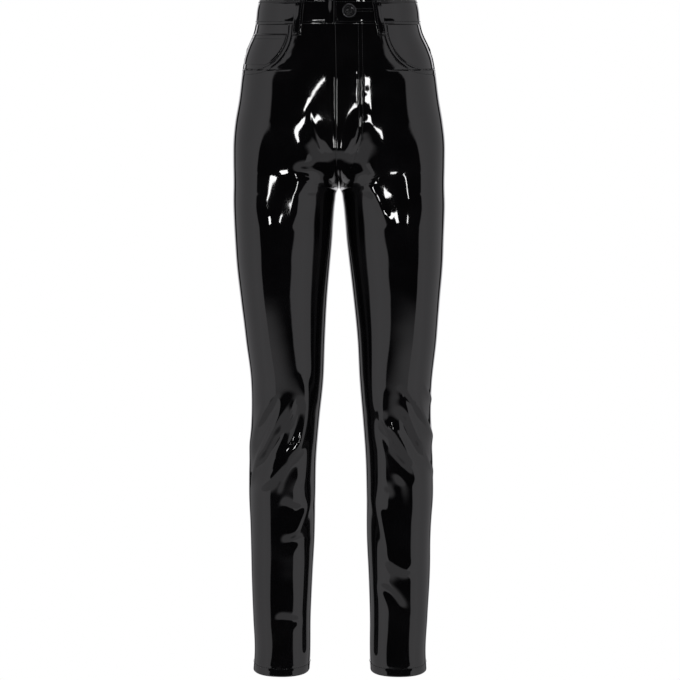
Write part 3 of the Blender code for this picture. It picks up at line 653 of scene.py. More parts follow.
# --- shader maths ---------------------------------------------------------------------------
class Tree:
    """A node tree that is built by calls: one method makes any node."""

    def __init__(self, tree: bpy.types.NodeTree) -> None:
        """Empties the tree and keeps it."""
        tree.nodes.clear()
        self.tree = tree

    def node(self, kind: str, settings: Optional[dict] = None, **values) -> bpy.types.Node:
        """Makes one node.

        Args:
            kind: Blender's name of the node's type.
            settings: the node's own properties, set before its sockets.
            values: numbers, tuples or links for its sockets, by name with _ for a space.

        Returns:
            The node.
        """
        made = self.tree.nodes.new(kind)
        for name, value in (settings or {}).items():
            if name == "ramp":
                self._ramp(made.color_ramp, value)
            else:
                setattr(made, name, value)
        for name, value in values.items():
            self._feed(self._socket(made, name), value)
        return made

    @staticmethod
    def _ramp(ramp: bpy.types.ColorRamp, stops: Sequence[tuple]) -> None:
        """Gives a colour ramp its stops.

        Args:
            ramp: the ramp.
            stops: place and colour of each stop.
        """
        while len(ramp.elements) > len(stops):
            ramp.elements.remove(ramp.elements[-1])
        while len(ramp.elements) < len(stops):
            ramp.elements.new(1.0)
        for element, (place, colour) in zip(ramp.elements, stops):
            element.position = place
            element.color = colour

    @staticmethod
    def _socket(node: bpy.types.Node, name: str) -> bpy.types.NodeSocket:
        """An input by name, or by number as in _0.

        Args:
            node: the node.
            name: its name.

        Returns:
            The input.
        """
        if name.startswith("_"):
            return node.inputs[int(name[1:])]
        plain = name.replace("_", " ")
        shown = [s for s in node.inputs if s.name == plain and s.enabled]
        return shown[0] if shown else node.inputs[plain]

    def _feed(self, socket: bpy.types.NodeSocket, value: object) -> None:
        """Gives an input its value or link.

        Args:
            socket: the input.
            value: a number, colour, socket or Value.
        """
        if isinstance(value, Value):
            self.tree.links.new(value.socket, socket)
        elif isinstance(value, bpy.types.NodeSocket):
            self.tree.links.new(value, socket)
        else:
            socket.default_value = value

    def value(self, socket: bpy.types.NodeSocket) -> "Value":
        """Wraps a number socket, so that it can be written in sums."""
        return Value(self, socket)

    def maths(self, operation: str, *terms: object, clamp: bool = False) -> "Value":
        """One Math node.

        Args:
            operation: the Math operation.
            terms: its inputs.
            clamp: true to keep it from 0 to 1.

        Returns:
            Its result.
        """
        named = {f"_{index}": term for index, term in enumerate(terms)}
        made = self.node("ShaderNodeMath", {"operation": operation, "use_clamp": clamp}, **named)
        return Value(self, made.outputs[0])

    def rise(self, value: "Value", start: float, end: float) -> "Value":
        """0 at start, 1 at end, smooth between.

        Args:
            value: what is compared.
            start: where it starts.
            end: where it ends.

        Returns:
            A share from 0 to 1.
        """
        made = self.node("ShaderNodeMapRange", {"interpolation_type": "SMOOTHSTEP"},
                         Value=value, From_Min=start, From_Max=end)
        return Value(self, made.outputs[0])

    def mix(self, factor: object, first: object, second: object) -> bpy.types.NodeSocket:
        """A mix of two colours.

        Args:
            factor: share of the second.
            first: the first colour.
            second: the second colour.

        Returns:
            The mixed colour.
        """
        made = self.node("ShaderNodeMix", {"data_type": "RGBA"})
        self._feed(made.inputs[0], factor)
        self._feed(made.inputs[6], first)
        self._feed(made.inputs[7], second)
        return made.outputs[2]


class Value:
    """A number socket with arithmetic: each sign adds a Math node."""

    def __init__(self, tree: Tree, socket: bpy.types.NodeSocket) -> None:
        """Keeps the tree and the socket."""
        self.tree = tree
        self.socket = socket

    def __add__(self, other: "Value | float") -> "Value":
        """Sum."""
        return self.tree.maths("ADD", self, other)

    __radd__ = __add__

    def __mul__(self, other: "Value | float") -> "Value":
        """Product."""
        return self.tree.maths("MULTIPLY", self, other)

    __rmul__ = __mul__

    def __sub__(self, other: "Value | float") -> "Value":
        """Difference."""
        return self.tree.maths("SUBTRACT", self, other)

    def __rsub__(self, other: "Value | float") -> "Value":
        """Difference from a number."""
        return self.tree.maths("SUBTRACT", other, self)

    def __truediv__(self, other: "Value | float") -> "Value":
        """Quotient."""
        return self.tree.maths("DIVIDE", self, other)

    def __abs__(self) -> "Value":
        """Size without sign."""
        return self.tree.maths("ABSOLUTE", self)


# --- finishes ---------------------------------------------------------------------------------
def new_material(name: str) -> tuple[bpy.types.Material, Tree]:
    """A material with an empty tree.

    Args:
        name: its name.

    Returns:
        The material and its tree.
    """
    made = bpy.data.materials.new(name)
    made.use_nodes = True
    return made, Tree(made.node_tree)


@dataclass(frozen=True)
class PatentVinyl:
    """Black patent vinyl: a deep black film with a wet gloss and a faint orange peel."""

    name: str = "patent_vinyl"
    black: tuple = (0.0030, 0.0029, 0.0034, 1.0)
    dusty: tuple = (0.0046, 0.0044, 0.0050, 1.0)
    roughness: float = 0.035
    roughness_spread: float = 0.03
    peel_size: float = 260.0        # cells a metre
    peel_height: float = 0.02 * MM
    grain_size: float = 1500.0

    def build(self) -> bpy.types.Material:
        """Makes the material.

        Returns:
            The material.
        """
        made, tree = new_material(self.name)
        place = tree.node("ShaderNodeTexCoord").outputs["Object"]
        haze = tree.node("ShaderNodeTexNoise", Vector=place, Scale=22.0, Detail=3.0)
        peel = tree.node("ShaderNodeTexNoise", Vector=place, Scale=self.peel_size, Detail=2.0)
        grain = tree.node("ShaderNodeTexNoise", Vector=place, Scale=self.grain_size, Detail=1.0)
        cloud = tree.rise(tree.value(haze.outputs["Fac"]), 0.40, 0.75)
        colour = tree.mix(cloud, self.black, self.dusty)
        rough = self.roughness + self.roughness_spread * cloud
        height = tree.value(peel.outputs["Fac"]) + 0.12 * tree.value(grain.outputs["Fac"])
        bump = tree.node("ShaderNodeBump", Height=height, Strength=0.35,
                         Distance=self.peel_height)
        shader = tree.node("ShaderNodeBsdfPrincipled", Base_Color=colour, Roughness=rough,
                           IOR=1.53, Normal=bump.outputs["Normal"])
        tree.node("ShaderNodeOutputMaterial", Surface=shader.outputs[0])
        return made


@dataclass(frozen=True)
class KnitBacking:
    """The vinyl's inner face: a fine dull black knit."""

    name: str = "knit_backing"
    dark: tuple = (0.006, 0.006, 0.007, 1.0)
    light: tuple = (0.030, 0.030, 0.033, 1.0)
    course: float = 1.1 * MM        # height of one row of stitches
    wale: float = 0.9 * MM

    def build(self) -> bpy.types.Material:
        """Makes the material.

        Returns:
            The material.
        """
        made, tree = new_material(self.name)
        place = tree.node("ShaderNodeTexCoord").outputs["Object"]
        parts = tree.node("ShaderNodeSeparateXYZ", Vector=place)
        x, y, z = (tree.value(parts.outputs[index]) for index in range(3))
        rows = tree.maths("SINE", z * (2 * math.pi / self.course))
        walls = tree.maths("SINE", (x + y) * (2 * math.pi / self.wale))
        loops = rows * walls
        noise = tree.node("ShaderNodeTexNoise", Vector=place, Scale=140.0, Detail=4.0)
        mixed = tree.rise(loops + tree.value(noise.outputs["Fac"]) * 1.6, 0.0, 2.0)
        colour = tree.mix(mixed, self.dark, self.light)
        bump = tree.node("ShaderNodeBump", Height=loops, Strength=0.5, Distance=0.1 * MM)
        shader = tree.node("ShaderNodeBsdfPrincipled", Base_Color=colour, Roughness=0.9,
                           Normal=bump.outputs["Normal"])
        tree.node("ShaderNodeOutputMaterial", Surface=shader.outputs[0])
        return made


@dataclass(frozen=True)
class Thread:
    """Polyester sewing thread with a soft shine."""

    name: str = "black_thread"
    dark: tuple = (0.008, 0.008, 0.009, 1.0)
    light: tuple = (0.024, 0.024, 0.027, 1.0)
    ply: float = 3200.0

    def build(self) -> bpy.types.Material:
        """Makes the material.

        Returns:
            The material.
        """
        made, tree = new_material(self.name)
        place = tree.node("ShaderNodeTexCoord").outputs["Object"]
        twist = tree.node("ShaderNodeTexNoise", Vector=place, Scale=self.ply, Detail=1.0)
        share = tree.value(twist.outputs["Fac"])
        colour = tree.mix(share, self.dark, self.light)
        bump = tree.node("ShaderNodeBump", Height=share, Strength=0.6, Distance=0.05 * MM)
        shader = tree.node("ShaderNodeBsdfPrincipled", Base_Color=colour,
                           Roughness=0.22 + 0.15 * share, Normal=bump.outputs["Normal"])
        tree.node("ShaderNodeOutputMaterial", Surface=shader.outputs[0])
        return made


@dataclass(frozen=True)
class ButtonMetal:
    """The button's black enamelled metal, with a painted highlight: its rims are coloured lighter.
    """

    name: str = "black_button"
    dark: tuple = (0.012, 0.012, 0.013, 1.0)
    # painted highlight: the lighter colour that the rims are given
    rubbed: tuple = (0.16, 0.16, 0.17, 1.0)

    def build(self) -> bpy.types.Material:
        """Makes the material.

        Returns:
            The material.
        """
        made, tree = new_material(self.name)
        place = tree.node("ShaderNodeTexCoord").outputs["Object"]
        noise = tree.node("ShaderNodeTexNoise", Vector=place, Scale=900.0, Detail=4.0)
        share = tree.value(noise.outputs["Fac"])
        pointed = tree.value(tree.node("ShaderNodeNewGeometry").outputs["Pointiness"])
        # painted highlight: the convex rims get the lighter colour
        rim = tree.rise(pointed + 0.02 * share, 0.52, 0.60)
        colour = tree.mix(rim, self.dark, self.rubbed)
        bump = tree.node("ShaderNodeBump", Height=share, Strength=0.2, Distance=0.02 * MM)
        shader = tree.node("ShaderNodeBsdfPrincipled", Base_Color=colour, Metallic=0.55,
                           Roughness=0.16 + 0.12 * share, Normal=bump.outputs["Normal"])
        tree.node("ShaderNodeOutputMaterial", Surface=shader.outputs[0])
        return made


@dataclass
class Finishes:
    """The materials that the pieces share."""

    vinyl: bpy.types.Material
    backing: bpy.types.Material
    thread: bpy.types.Material
    metal: bpy.types.Material


# --- meshes ---------------------------------------------------------------------------------
def signed_volume(vertices: np.ndarray, quads: np.ndarray) -> float:
    """Volume inside a closed mesh, negative if its faces point in.

    Args:
        vertices: the points.
        quads: four vertex numbers a face.

    Returns:
        Cubic metres.
    """
    a, b, c, d = (vertices[quads[:, index]] for index in range(4))
    return float((np.einsum("ij,ij->i", a, np.cross(b, c))
                  + np.einsum("ij,ij->i", a, np.cross(c, d))).sum() / 6.0)


def grid_quads(rows: int, columns: int, closed: bool) -> np.ndarray:
    """Vertex numbers of a grid's quads.

    Args:
        rows: rows of the grid.
        columns: columns of the grid.
        closed: true where the last column meets the first.

    Returns:
        Four numbers a quad.
    """
    last = columns if closed else columns - 1
    row, col = np.meshgrid(np.arange(rows - 1), np.arange(last), indexing="ij")
    a = row * columns + col
    b = row * columns + (col + 1) % columns
    return np.stack([a, b, b + columns, a + columns], axis=-1).reshape(-1, 4)


def edge_loops(rows: int, columns: int, closed: bool) -> list[tuple[np.ndarray, np.ndarray]]:
    """The grid's free edges.

    Returns:
        For each loop the vertex numbers along it, and their neighbours inside the grid.

    Args:
        rows: rows of the grid.
        columns: columns of the grid.
        closed: true where the last column meets the first.
    """
    number = np.arange(rows * columns).reshape(rows, columns)
    if closed:
        return [(number[0], number[1]), (number[-1][::-1], number[-2][::-1])]
    top, right = number[0, :-1], number[:-1, -1]
    bottom, left = number[-1, :0:-1], number[:0:-1, 0]
    inner = number[1:-1, 1:-1]
    inside = np.pad(inner, 1, mode="edge")
    loop = np.concatenate([top, right, bottom, left])
    within = np.concatenate([inside[0, :-1], inside[:-1, -1], inside[-1, :0:-1],
                             inside[:0:-1, 0]])
    return [(loop, within)]


def shell(name: str, outer: np.ndarray, inner: np.ndarray, finishes: Sequence,
          closed: bool = False, roll: float = 1.0) -> bpy.types.Object:
    """A closed thin shell between two grids, with rolled edges.

    Args:
        name: the piece's name.
        outer: grid of outer points, rows by columns by xyz.
        inner: grid of inner points.
        finishes: the material of the outside and edges, and that of the inside.
        closed: True where the last column joins the first one.
        roll: how far the edges bulge, as a share of a half round.

    Returns:
        The new object.
    """
    rows, columns = outer.shape[:2]
    count = rows * columns
    out_points, in_points = outer.reshape(-1, 3), inner.reshape(-1, 3)
    quads = grid_quads(rows, columns, closed)
    parts = [out_points, in_points]
    faces = [quads, quads[:, ::-1] + count]
    inside_face = [np.zeros(len(quads), int), np.ones(len(quads), int)]
    total = 2 * count
    for loop, within in edge_loops(rows, columns, closed):
        middle = (out_points[loop] + in_points[loop]) / 2
        half = (out_points[loop] - in_points[loop]) / 2
        away = out_points[loop] - out_points[within]
        away /= np.maximum(np.linalg.norm(away, axis=1, keepdims=True), 1e-9)
        radius = np.linalg.norm(half, axis=1, keepdims=True) * roll
        previous = loop
        for angle in (math.pi / 4, math.pi / 2, 3 * math.pi / 4, math.pi):
            if angle < math.pi - 0.01:
                parts.append(middle + math.cos(angle) * half
                             + math.sin(angle) * radius * away)
                current = np.arange(len(loop)) + total
                total += len(loop)
            else:
                current = loop + count
            following = np.roll(previous, -1)
            faces.append(np.stack([following, previous, current, np.roll(current, -1)],
                                  axis=-1))
            inside_face.append(np.zeros(len(loop), int))
            previous = current
    vertices = np.concatenate(parts)
    all_faces = np.concatenate(faces)
    if signed_volume(vertices, all_faces) < 0:
        all_faces = all_faces[:, ::-1]
    made = mesh_object(name, vertices, all_faces, finishes)
    made.data.polygons.foreach_set("material_index", np.concatenate(inside_face))
    return made


def mesh_object(name: str, vertices: np.ndarray, faces: Sequence,
                finishes: Sequence) -> bpy.types.Object:
    """A smooth mesh object at the origin.

    Args:
        name: its name.
        vertices: the points.
        faces: vertex numbers of each face.
        finishes: its materials.

    Returns:
        The object.
    """
    mesh = bpy.data.meshes.new(name)
    mesh.from_pydata(vertices, [], faces)
    for finish in finishes:
        mesh.materials.append(finish)
    mesh.shade_smooth()
    mesh.validate()
    made = bpy.data.objects.new(name, mesh)
    bpy.context.scene.collection.objects.link(made)
    return made


# --- stitching, by geometry nodes -----------------------------------------------------------
@dataclass(frozen=True)
class StitchSizes:
    """A row of lockstitches."""

    spacing: float = 3.3 * MM
    length: float = 2.5 * MM
    thickness: float = 0.75 * MM
    seed: int = 7


class Sewing:
    """Makes stitches and tacks along paths that lie on the cloth."""

    def __init__(self, thread: bpy.types.Material) -> None:
        """Builds the two node trees.

        Args:
            thread: the thread's material.
        """
        self.thread = thread
        self.stitch_tree = self._stitch_tree()
        self.tack_tree = self._tack_tree()

    @staticmethod
    def _interface(name: str, inputs: Sequence[tuple[str, str, float]]) -> bpy.types.NodeTree:
        """A geometry tree with its named inputs.

        Args:
            name: its name.
            inputs: the named inputs.

        Returns:
            The tree.
        """
        tree = bpy.data.node_groups.new(name, "GeometryNodeTree")
        tree.interface.new_socket("Geometry", in_out="INPUT", socket_type="NodeSocketGeometry")
        tree.interface.new_socket("Geometry", in_out="OUTPUT", socket_type="NodeSocketGeometry")
        for label, kind, default in inputs:
            socket = tree.interface.new_socket(label, in_out="INPUT", socket_type=kind)
            socket.default_value = default
        return tree

    def _stitch_tree(self) -> bpy.types.NodeTree:
        """Points along a path, each with one rounded stitch.

        Returns:
            The tree.
        """
        sizes = StitchSizes()
        group = self._interface("stitch_rows", [
            ("Spacing", "NodeSocketFloat", sizes.spacing),
            ("Length", "NodeSocketFloat", sizes.length),
            ("Thickness", "NodeSocketFloat", sizes.thickness),
            ("Seed", "NodeSocketInt", sizes.seed),
        ])
        tree = Tree(group)
        given = tree.node("NodeGroupInput")
        points = tree.node("GeometryNodeCurveToPoints", {"mode": "LENGTH"},
                           Curve=given.outputs["Geometry"], Length=given.outputs["Spacing"])
        ball = tree.node("GeometryNodeMeshUVSphere", Segments=6, Rings=5, Radius=0.5)
        spread = tree.node("FunctionNodeRandomValue", {"data_type": "FLOAT"},
                           Seed=given.outputs["Seed"])
        tree._feed(spread.inputs[2], 0.86)
        tree._feed(spread.inputs[3], 1.08)
        longer = tree.node("ShaderNodeMath", {"operation": "MULTIPLY"},
                           _0=given.outputs["Length"], _1=spread.outputs[1])
        scale = tree.node("ShaderNodeCombineXYZ", X=given.outputs["Thickness"],
                          Y=given.outputs["Thickness"], Z=longer.outputs[0])
        placed = tree.node("GeometryNodeInstanceOnPoints", Points=points.outputs["Points"],
                           Instance=ball.outputs["Mesh"], Rotation=points.outputs["Rotation"],
                           Scale=scale.outputs[0])
        self._finish_tree(tree, placed.outputs[0])
        return group

    def _tack_tree(self) -> bpy.types.NodeTree:
        """One continuous thread along a zigzag.

        Returns:
            The tree.
        """
        group = self._interface("thread_tacks", [("Thickness", "NodeSocketFloat", 0.6 * MM)])
        tree = Tree(group)
        given = tree.node("NodeGroupInput")
        half = tree.node("ShaderNodeMath", {"operation": "MULTIPLY"},
                         _0=given.outputs["Thickness"], _1=0.5)
        ring = tree.node("GeometryNodeCurvePrimitiveCircle", Resolution=6,
                         Radius=half.outputs[0])
        swept = tree.node("GeometryNodeCurveToMesh", Curve=given.outputs["Geometry"],
                          Profile_Curve=ring.outputs[0], Fill_Caps=True)
        self._finish_tree(tree, swept.outputs[0])
        return group

    def _finish_tree(self, tree: Tree, geometry: bpy.types.NodeSocket) -> None:
        """Realize Instances, smooth shading, Set Material and the output.

        Args:
            tree: the tree.
            geometry: what to finish.
        """
        real = tree.node("GeometryNodeRealizeInstances", Geometry=geometry)
        smooth = tree.node("GeometryNodeSetShadeSmooth", Geometry=real.outputs[0])
        dressed = tree.node("GeometryNodeSetMaterial", Geometry=smooth.outputs[0],
                            Material=self.thread)
        tree.node("NodeGroupOutput", Geometry=dressed.outputs[0])

    def rows(self, name: str, paths: Sequence[np.ndarray],
             sizes: StitchSizes = StitchSizes()) -> bpy.types.Object:
        """Stitched rows as one plain mesh.

        Args:
            name: the piece's name.
            paths: one array of points a row.
            sizes: the stitches' sizes.

        Returns:
            The new object.
        """
        return self._apply(name, paths, self.stitch_tree, {
            "Spacing": sizes.spacing, "Length": sizes.length, "Thickness": sizes.thickness,
            "Seed": sizes.seed})

    def tacks(self, name: str, paths: Sequence[np.ndarray],
              thickness: float = 0.6 * MM) -> bpy.types.Object:
        """Bar tacks and buttonhole edges as one plain mesh."""
        return self._apply(name, paths, self.tack_tree, {"Thickness": thickness})

    @staticmethod
    def _apply(name: str, paths: Sequence[np.ndarray], group: bpy.types.NodeTree,
               inputs: dict) -> bpy.types.Object:
        """Runs a tree over curves and keeps the result as a mesh.

        Args:
            name: its name.
            paths: the rows.
            group: the tree to run.
            inputs: the named inputs.

        Returns:
            The object.
        """
        curve = bpy.data.curves.new(f"{name}_paths", "CURVE")
        curve.dimensions = "3D"
        for path in paths:
            spline = curve.splines.new("POLY")
            spline.points.add(len(path) - 1)
            flat = np.concatenate([path, np.ones((len(path), 1))], axis=1)
            spline.points.foreach_set("co", flat.ravel())
        carrier = bpy.data.objects.new(f"{name}_paths", curve)
        bpy.context.scene.collection.objects.link(carrier)
        modifier = carrier.modifiers.new("sewing", "NODES")
        modifier.node_group = group
        for item in group.interface.items_tree:
            if item.item_type == "SOCKET" and item.in_out == "INPUT" and item.name in inputs:
                modifier[item.identifier] = inputs[item.name]
        graph = bpy.context.evaluated_depsgraph_get()
        mesh = bpy.data.meshes.new_from_object(carrier.evaluated_get(graph), depsgraph=graph)
        bpy.data.objects.remove(carrier, do_unlink=True)
        mesh.name = name
        made = bpy.data.objects.new(name, mesh)
        bpy.context.scene.collection.objects.link(made)
        return made


def zigzag(start: np.ndarray, end: np.ndarray, across: np.ndarray, width: float,
           pitch: float) -> np.ndarray:
    """Corners of a zigzag from start to end.

    Args:
        start: where it starts.
        end: where it ends.
        across: direction of its width.
        width: its width.
        pitch: length of one turn.

    Returns:
        The corners.
    """
    count = max(4, int(np.linalg.norm(end - start) / pitch))
    share = np.linspace(0.0, 1.0, count + 1)[:, None]
    sign = np.where(np.arange(count + 1) % 2 == 0, 1.0, -1.0)[:, None]
    return start + (end - start) * share + across * sign * width / 2


# --- relief near seams and stitches ------------------------------------------------------------
@dataclass
class StitchedRelief:
    """Grooves under rows of stitches, and the puckers between them."""

    paths: Sequence[np.ndarray]
    depth: float = 0.45 * MM
    width: float = 1.3 * MM
    pucker: float = 0.16 * MM
    pucker_reach: float = 5.0 * MM
    pucker_size: float = 7.0 * MM

    def at(self, points: np.ndarray) -> np.ndarray:
        """Relief at a grid of points.

        Args:
            points: the points.

        Returns:
            Heights, in metres.
        """
        flat = points.reshape(-1, 3)
        spots = np.concatenate([resample(path, 0.8 * MM) for path in self.paths])
        tree = KDTree(len(spots))
        for index, spot in enumerate(spots):
            tree.insert(spot, index)
        tree.balance()
        low, high = spots.min(axis=0) - 0.02, spots.max(axis=0) + 0.02
        close = np.nonzero(((flat > low) & (flat < high)).all(axis=1))[0]
        distance = np.full(len(flat), 1.0)
        for index in close:
            distance[index] = tree.find(flat[index])[2]
        groove = -self.depth * np.exp(-(distance / self.width) ** 2)
        noise = lattice_noise(flat, self.pucker_size, 5.0)
        puckers = self.pucker * noise * np.exp(-(distance / self.pucker_reach) ** 2)
        return (groove + puckers).reshape(points.shape[:-1])


def resample(path: np.ndarray, step: float) -> np.ndarray:
    """Points along a path at an even step.

    Args:
        path: the row.
        step: distance between points.

    Returns:
        The new points.
    """
    lengths = np.linalg.norm(np.diff(path, axis=0), axis=1)
    along = np.concatenate([[0.0], np.cumsum(lengths)])
    wanted = np.arange(0.0, along[-1], step)
    return np.stack([np.interp(wanted, along, path[:, axis]) for axis in range(3)], axis=1)


# --- the pieces -----------------------------------------------------------------------------
class RowBand(NamedTuple):
    """Rows of a grid down to a level."""

    bottom: float
    rows: int


PANEL_ROWS = [
    RowBand(-252.0 * MM, 62),
    RowBand(-352.0 * MM, 42),
    RowBand(-556.0 * MM, 56),
    RowBand(-770.0 * MM, 84),
    RowBand(-1006.0 * MM, 70),
    RowBand(HEM, 16),
]


def panel_levels(start: float) -> np.ndarray:
    """Levels of the rows from a start down to the hem.

    Args:
        start: the top level.

    Returns:
        The levels.
    """
    levels = [start]
    for band in PANEL_ROWS:
        levels += list(np.linspace(levels[-1], band.bottom, band.rows + 1)[1:])
    return np.array(levels)


@dataclass
class Columns:
    """How a panel's columns are spread: fine near its ends."""

    near: float
    near_step: float
    end: float
    end_step: float
    between: int

    def place(self, total: float) -> np.ndarray:
        """Distances of the columns along a row that is this long.

        Args:
            total: length of the row.

        Returns:
            The distances.
        """
        near = np.arange(0.0, self.near, self.near_step)
        end = total - np.arange(self.end, -1e-9, -self.end_step)
        middle = np.linspace(self.near, total - self.end, self.between + 1)[:-1]
        return np.concatenate([near, middle, end])


class Cut(NamedTuple):
    """A flat cut piece: the rectangle round what shows of it, and its area."""

    width: float
    length: float
    area: float


class Piece:
    """What every cloth piece shares."""

    def __init__(self, garment: Garment, finishes: Finishes) -> None:
        """Keeps the surface and the materials."""
        self.garment = garment
        self.finishes = finishes

    def cloth(self, node: str, outer: np.ndarray, inner: np.ndarray, cut: "Cut",
              with_pieces: Sequence[bpy.types.Object] = (), closed: bool = False,
              roll: float = 1.0) -> bpy.types.Object:
        """Args:
            node: the solid's name.
            outer: grid of outer points.
            inner: grid of inner points.
            cut: the flat piece that it is cut from.
            with_pieces: the stitches on it.
            closed: True for a ring.
            roll: how far the edges bulge.

        Returns:
            The shell.
        """
        made = shell(f"{node}_cloth", outer, inner,
                     (self.finishes.vinyl, self.finishes.backing), closed, roll)
        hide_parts(node)
        for piece in (made, *with_pieces):
            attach(piece, ROOT)
        area = sum(polygon.area for polygon in made.data.polygons) / 2
        LOG.info("%s: %d faces, %.4f m2 of cloth from a cut of %.4f m2", made.name,
                 len(made.data.polygons), area, cut.area)
        return made

    def row_grid(self, levels: np.ndarray, starts: np.ndarray, ends: np.ndarray,
                 columns: Columns) -> tuple[np.ndarray, np.ndarray]:
        """Places of a grid whose columns are measured on the cloth.

        Args:
            levels: height of each row.
            starts: where each row starts.
            ends: where each row ends.
            columns: how the columns are spread.

        Returns:
            Places round the half, and levels.
        """
        rows = [self.garment.at_distances(float(level), float(start), float(end),
                                          columns.place)
                for level, start, end in zip(levels, starts, ends)]
        around = np.array(rows)
        return around, np.repeat(levels[:, None], around.shape[1], axis=1)


@dataclass(frozen=True)
class FlySizes:
    """The fly and its stitching, in metres from the centre front."""

    lap: float = 3.0 * MM           # the left side laps this far past the centre
    step: float = 1.2 * MM          # and lies this far above the right one
    bottom: float = -236.0 * MM
    outer_row: float = 35.0 * MM
    inner_row: float = 29.4 * MM
    turn_from: float = -178.0 * MM  # where the rows start to curve in
    outer_end: float = -238.0 * MM
    inner_end: float = -226.0 * MM
    placket: float = 0.2 * MM       # the cloth inside the rows stands this proud
    placket_slope: float = 6 * MM
    lap_slope: tuple[float, float] = (32 * MM, 1 * MM)
    under_slope: tuple[float, float] = (8 * MM, 2 * MM)
    foot: float = 6 * MM            # the lap fades out this far each side of the bottom


class FrontPanel(Piece):
    """A front panel: fly, pocket mouth, thigh, knee and hem."""

    def __init__(self, garment: Garment, finishes: Finishes, side: Side) -> None:
        """Keeps the side and the sizes.

        Args:
            garment: the surface.
            finishes: its materials.
            side: the half of the garment.
        """
        super().__init__(garment, finishes)
        self.side = side
        self.fly = FlySizes()
        self.mouth_rows = 34
        self.stitch_lift = 0.1 * MM

    def mouth_paths(self) -> list[np.ndarray]:
        """The two stitched rows along the pocket mouth.

        Returns:
            The rows.
        """
        paths = []
        for grow in (2.0 * MM, 7.6 * MM):
            levels, edges = mouth_curve(self.garment, 60, grow)
            keep = slice(1, None)
            paths.append(self.garment.point(self.side, edges[keep], levels[keep],
                                            self.stitch_lift))
        return paths

    def fly_paths(self) -> list[np.ndarray]:
        """The two rows of the fly's curve, on the wearer's left.

        Returns:
            The rows.
        """
        if self.side is Side.RIGHT:
            return []
        paths = []
        for row, end in ((self.fly.outer_row, self.fly.outer_end),
                         (self.fly.inner_row, self.fly.inner_end)):
            straight = np.linspace(-BAND_HEIGHT - 1.0 * MM, self.fly.turn_from, 50)[:-1]
            angle = np.linspace(0.0, math.pi / 2, 30)
            level = np.concatenate([straight, self.fly.turn_from
                                    + (end - self.fly.turn_from) * np.sin(angle)])
            distance = np.concatenate([np.full(straight.shape, row),
                                       4 * MM + (row - 4 * MM) * np.cos(angle)])
            around = np.array([self.garment.around_at(float(d), float(lv))
                               for d, lv in zip(distance, level)])
            paths.append(self.garment.point(self.side, around, level, self.stitch_lift))
        return paths

    def hem_path(self) -> list[np.ndarray]:
        """The hem's stitched row across the front.

        Returns:
            The row.
        """
        around = np.linspace(0.004, 0.496, 120)
        level = np.full(around.shape, HEM + HEM_TURN)
        return [self.garment.point(self.side, around, level, self.stitch_lift)]

    def fly_lift(self, around: np.ndarray, level: np.ndarray) -> np.ndarray:
        """How far the lap lies above or below the plain surface.

        Args:
            around: places round the half.
            level: heights, in metres.

        Returns:
            Heights, in metres.
        """
        distance = self.garment.base(np.abs(around), level)[..., 0] * np.sign(around + 1e-9)
        above = smoothstep(self.fly.bottom - self.fly.foot, self.fly.bottom + self.fly.foot,
                           level)
        if self.side is Side.LEFT:
            placket = self.fly.placket * smoothstep(
                self.fly.outer_row + self.fly.placket_slope, self.fly.outer_row, distance)
            lap = self.fly.step * smoothstep(*self.fly.lap_slope, distance)
            return above * (placket + lap)
        return -above * self.fly.step * smoothstep(*self.fly.under_slope, distance)

    def build(self, sewing: Sewing) -> bpy.types.Object:
        """Makes the panel and its stitches.

        Args:
            sewing: makes the stitches.

        Returns:
            The panel.
        """
        mouth_levels, mouth_edges = mouth_curve(self.garment, self.mouth_rows)
        levels = np.concatenate([mouth_levels, panel_levels(float(mouth_levels[-1]))[1:]])
        ends = 0.5 - side_gap(levels)
        ends[:len(mouth_edges)] = mouth_edges
        starts = inner_edge(levels)
        if self.side is Side.LEFT:
            lap = smoothstep(self.fly.bottom - 4 * MM, self.fly.bottom + 4 * MM, levels)
            half = column(TRUNK, "half_width", levels) * math.pi
            starts = starts - lap * self.fly.lap / half
        columns = Columns(near=42 * MM, near_step=1.5 * MM, end=12 * MM, end_step=1.0 * MM,
                          between=50)
        around, level = self.row_grid(levels, starts, ends, columns)
        lift = self.fly_lift(around, level)
        base = self.garment.point(self.side, around, level, lift)
        paths = self.mouth_paths() + self.fly_paths() + self.hem_path()
        lift = lift + StitchedRelief(paths).at(base) + self.seam_dip(around, level)
        outer = self.garment.point(self.side, around, level, lift)
        inner = self.garment.point(self.side, around, level, lift - CLOTH)
        stitches = sewing.rows(f"front_stitches_{self.side.word}", paths)
        return self.cloth(f"front_panel_{self.side.word}", outer, inner,
                          Cut(0.255, 1.005, 0.180), [stitches])

    def seam_dip(self, around: np.ndarray, level: np.ndarray) -> np.ndarray:
        """The cloth turns in a little at the side seam and the inseam.

        Args:
            around: places round the half.
            level: heights, in metres.

        Returns:
            Heights, in metres.
        """
        depth = (column(LEG, "back", level) - column(LEG, "front", level)) / 2
        per = 2 * math.pi * depth
        inner = np.abs(around) * per
        outer = (0.5 - around) * per
        below_fly = smoothstep(self.fly.bottom + 4 * MM, self.fly.bottom - 8 * MM, level)
        dip = -0.7 * MM * np.exp(-(inner / (2.2 * MM)) ** 2) * below_fly
        below_mouth = smoothstep(-106 * MM, -112 * MM, level)
        return dip - 0.7 * MM * np.exp(-(outer / (2.2 * MM)) ** 2) * below_mouth


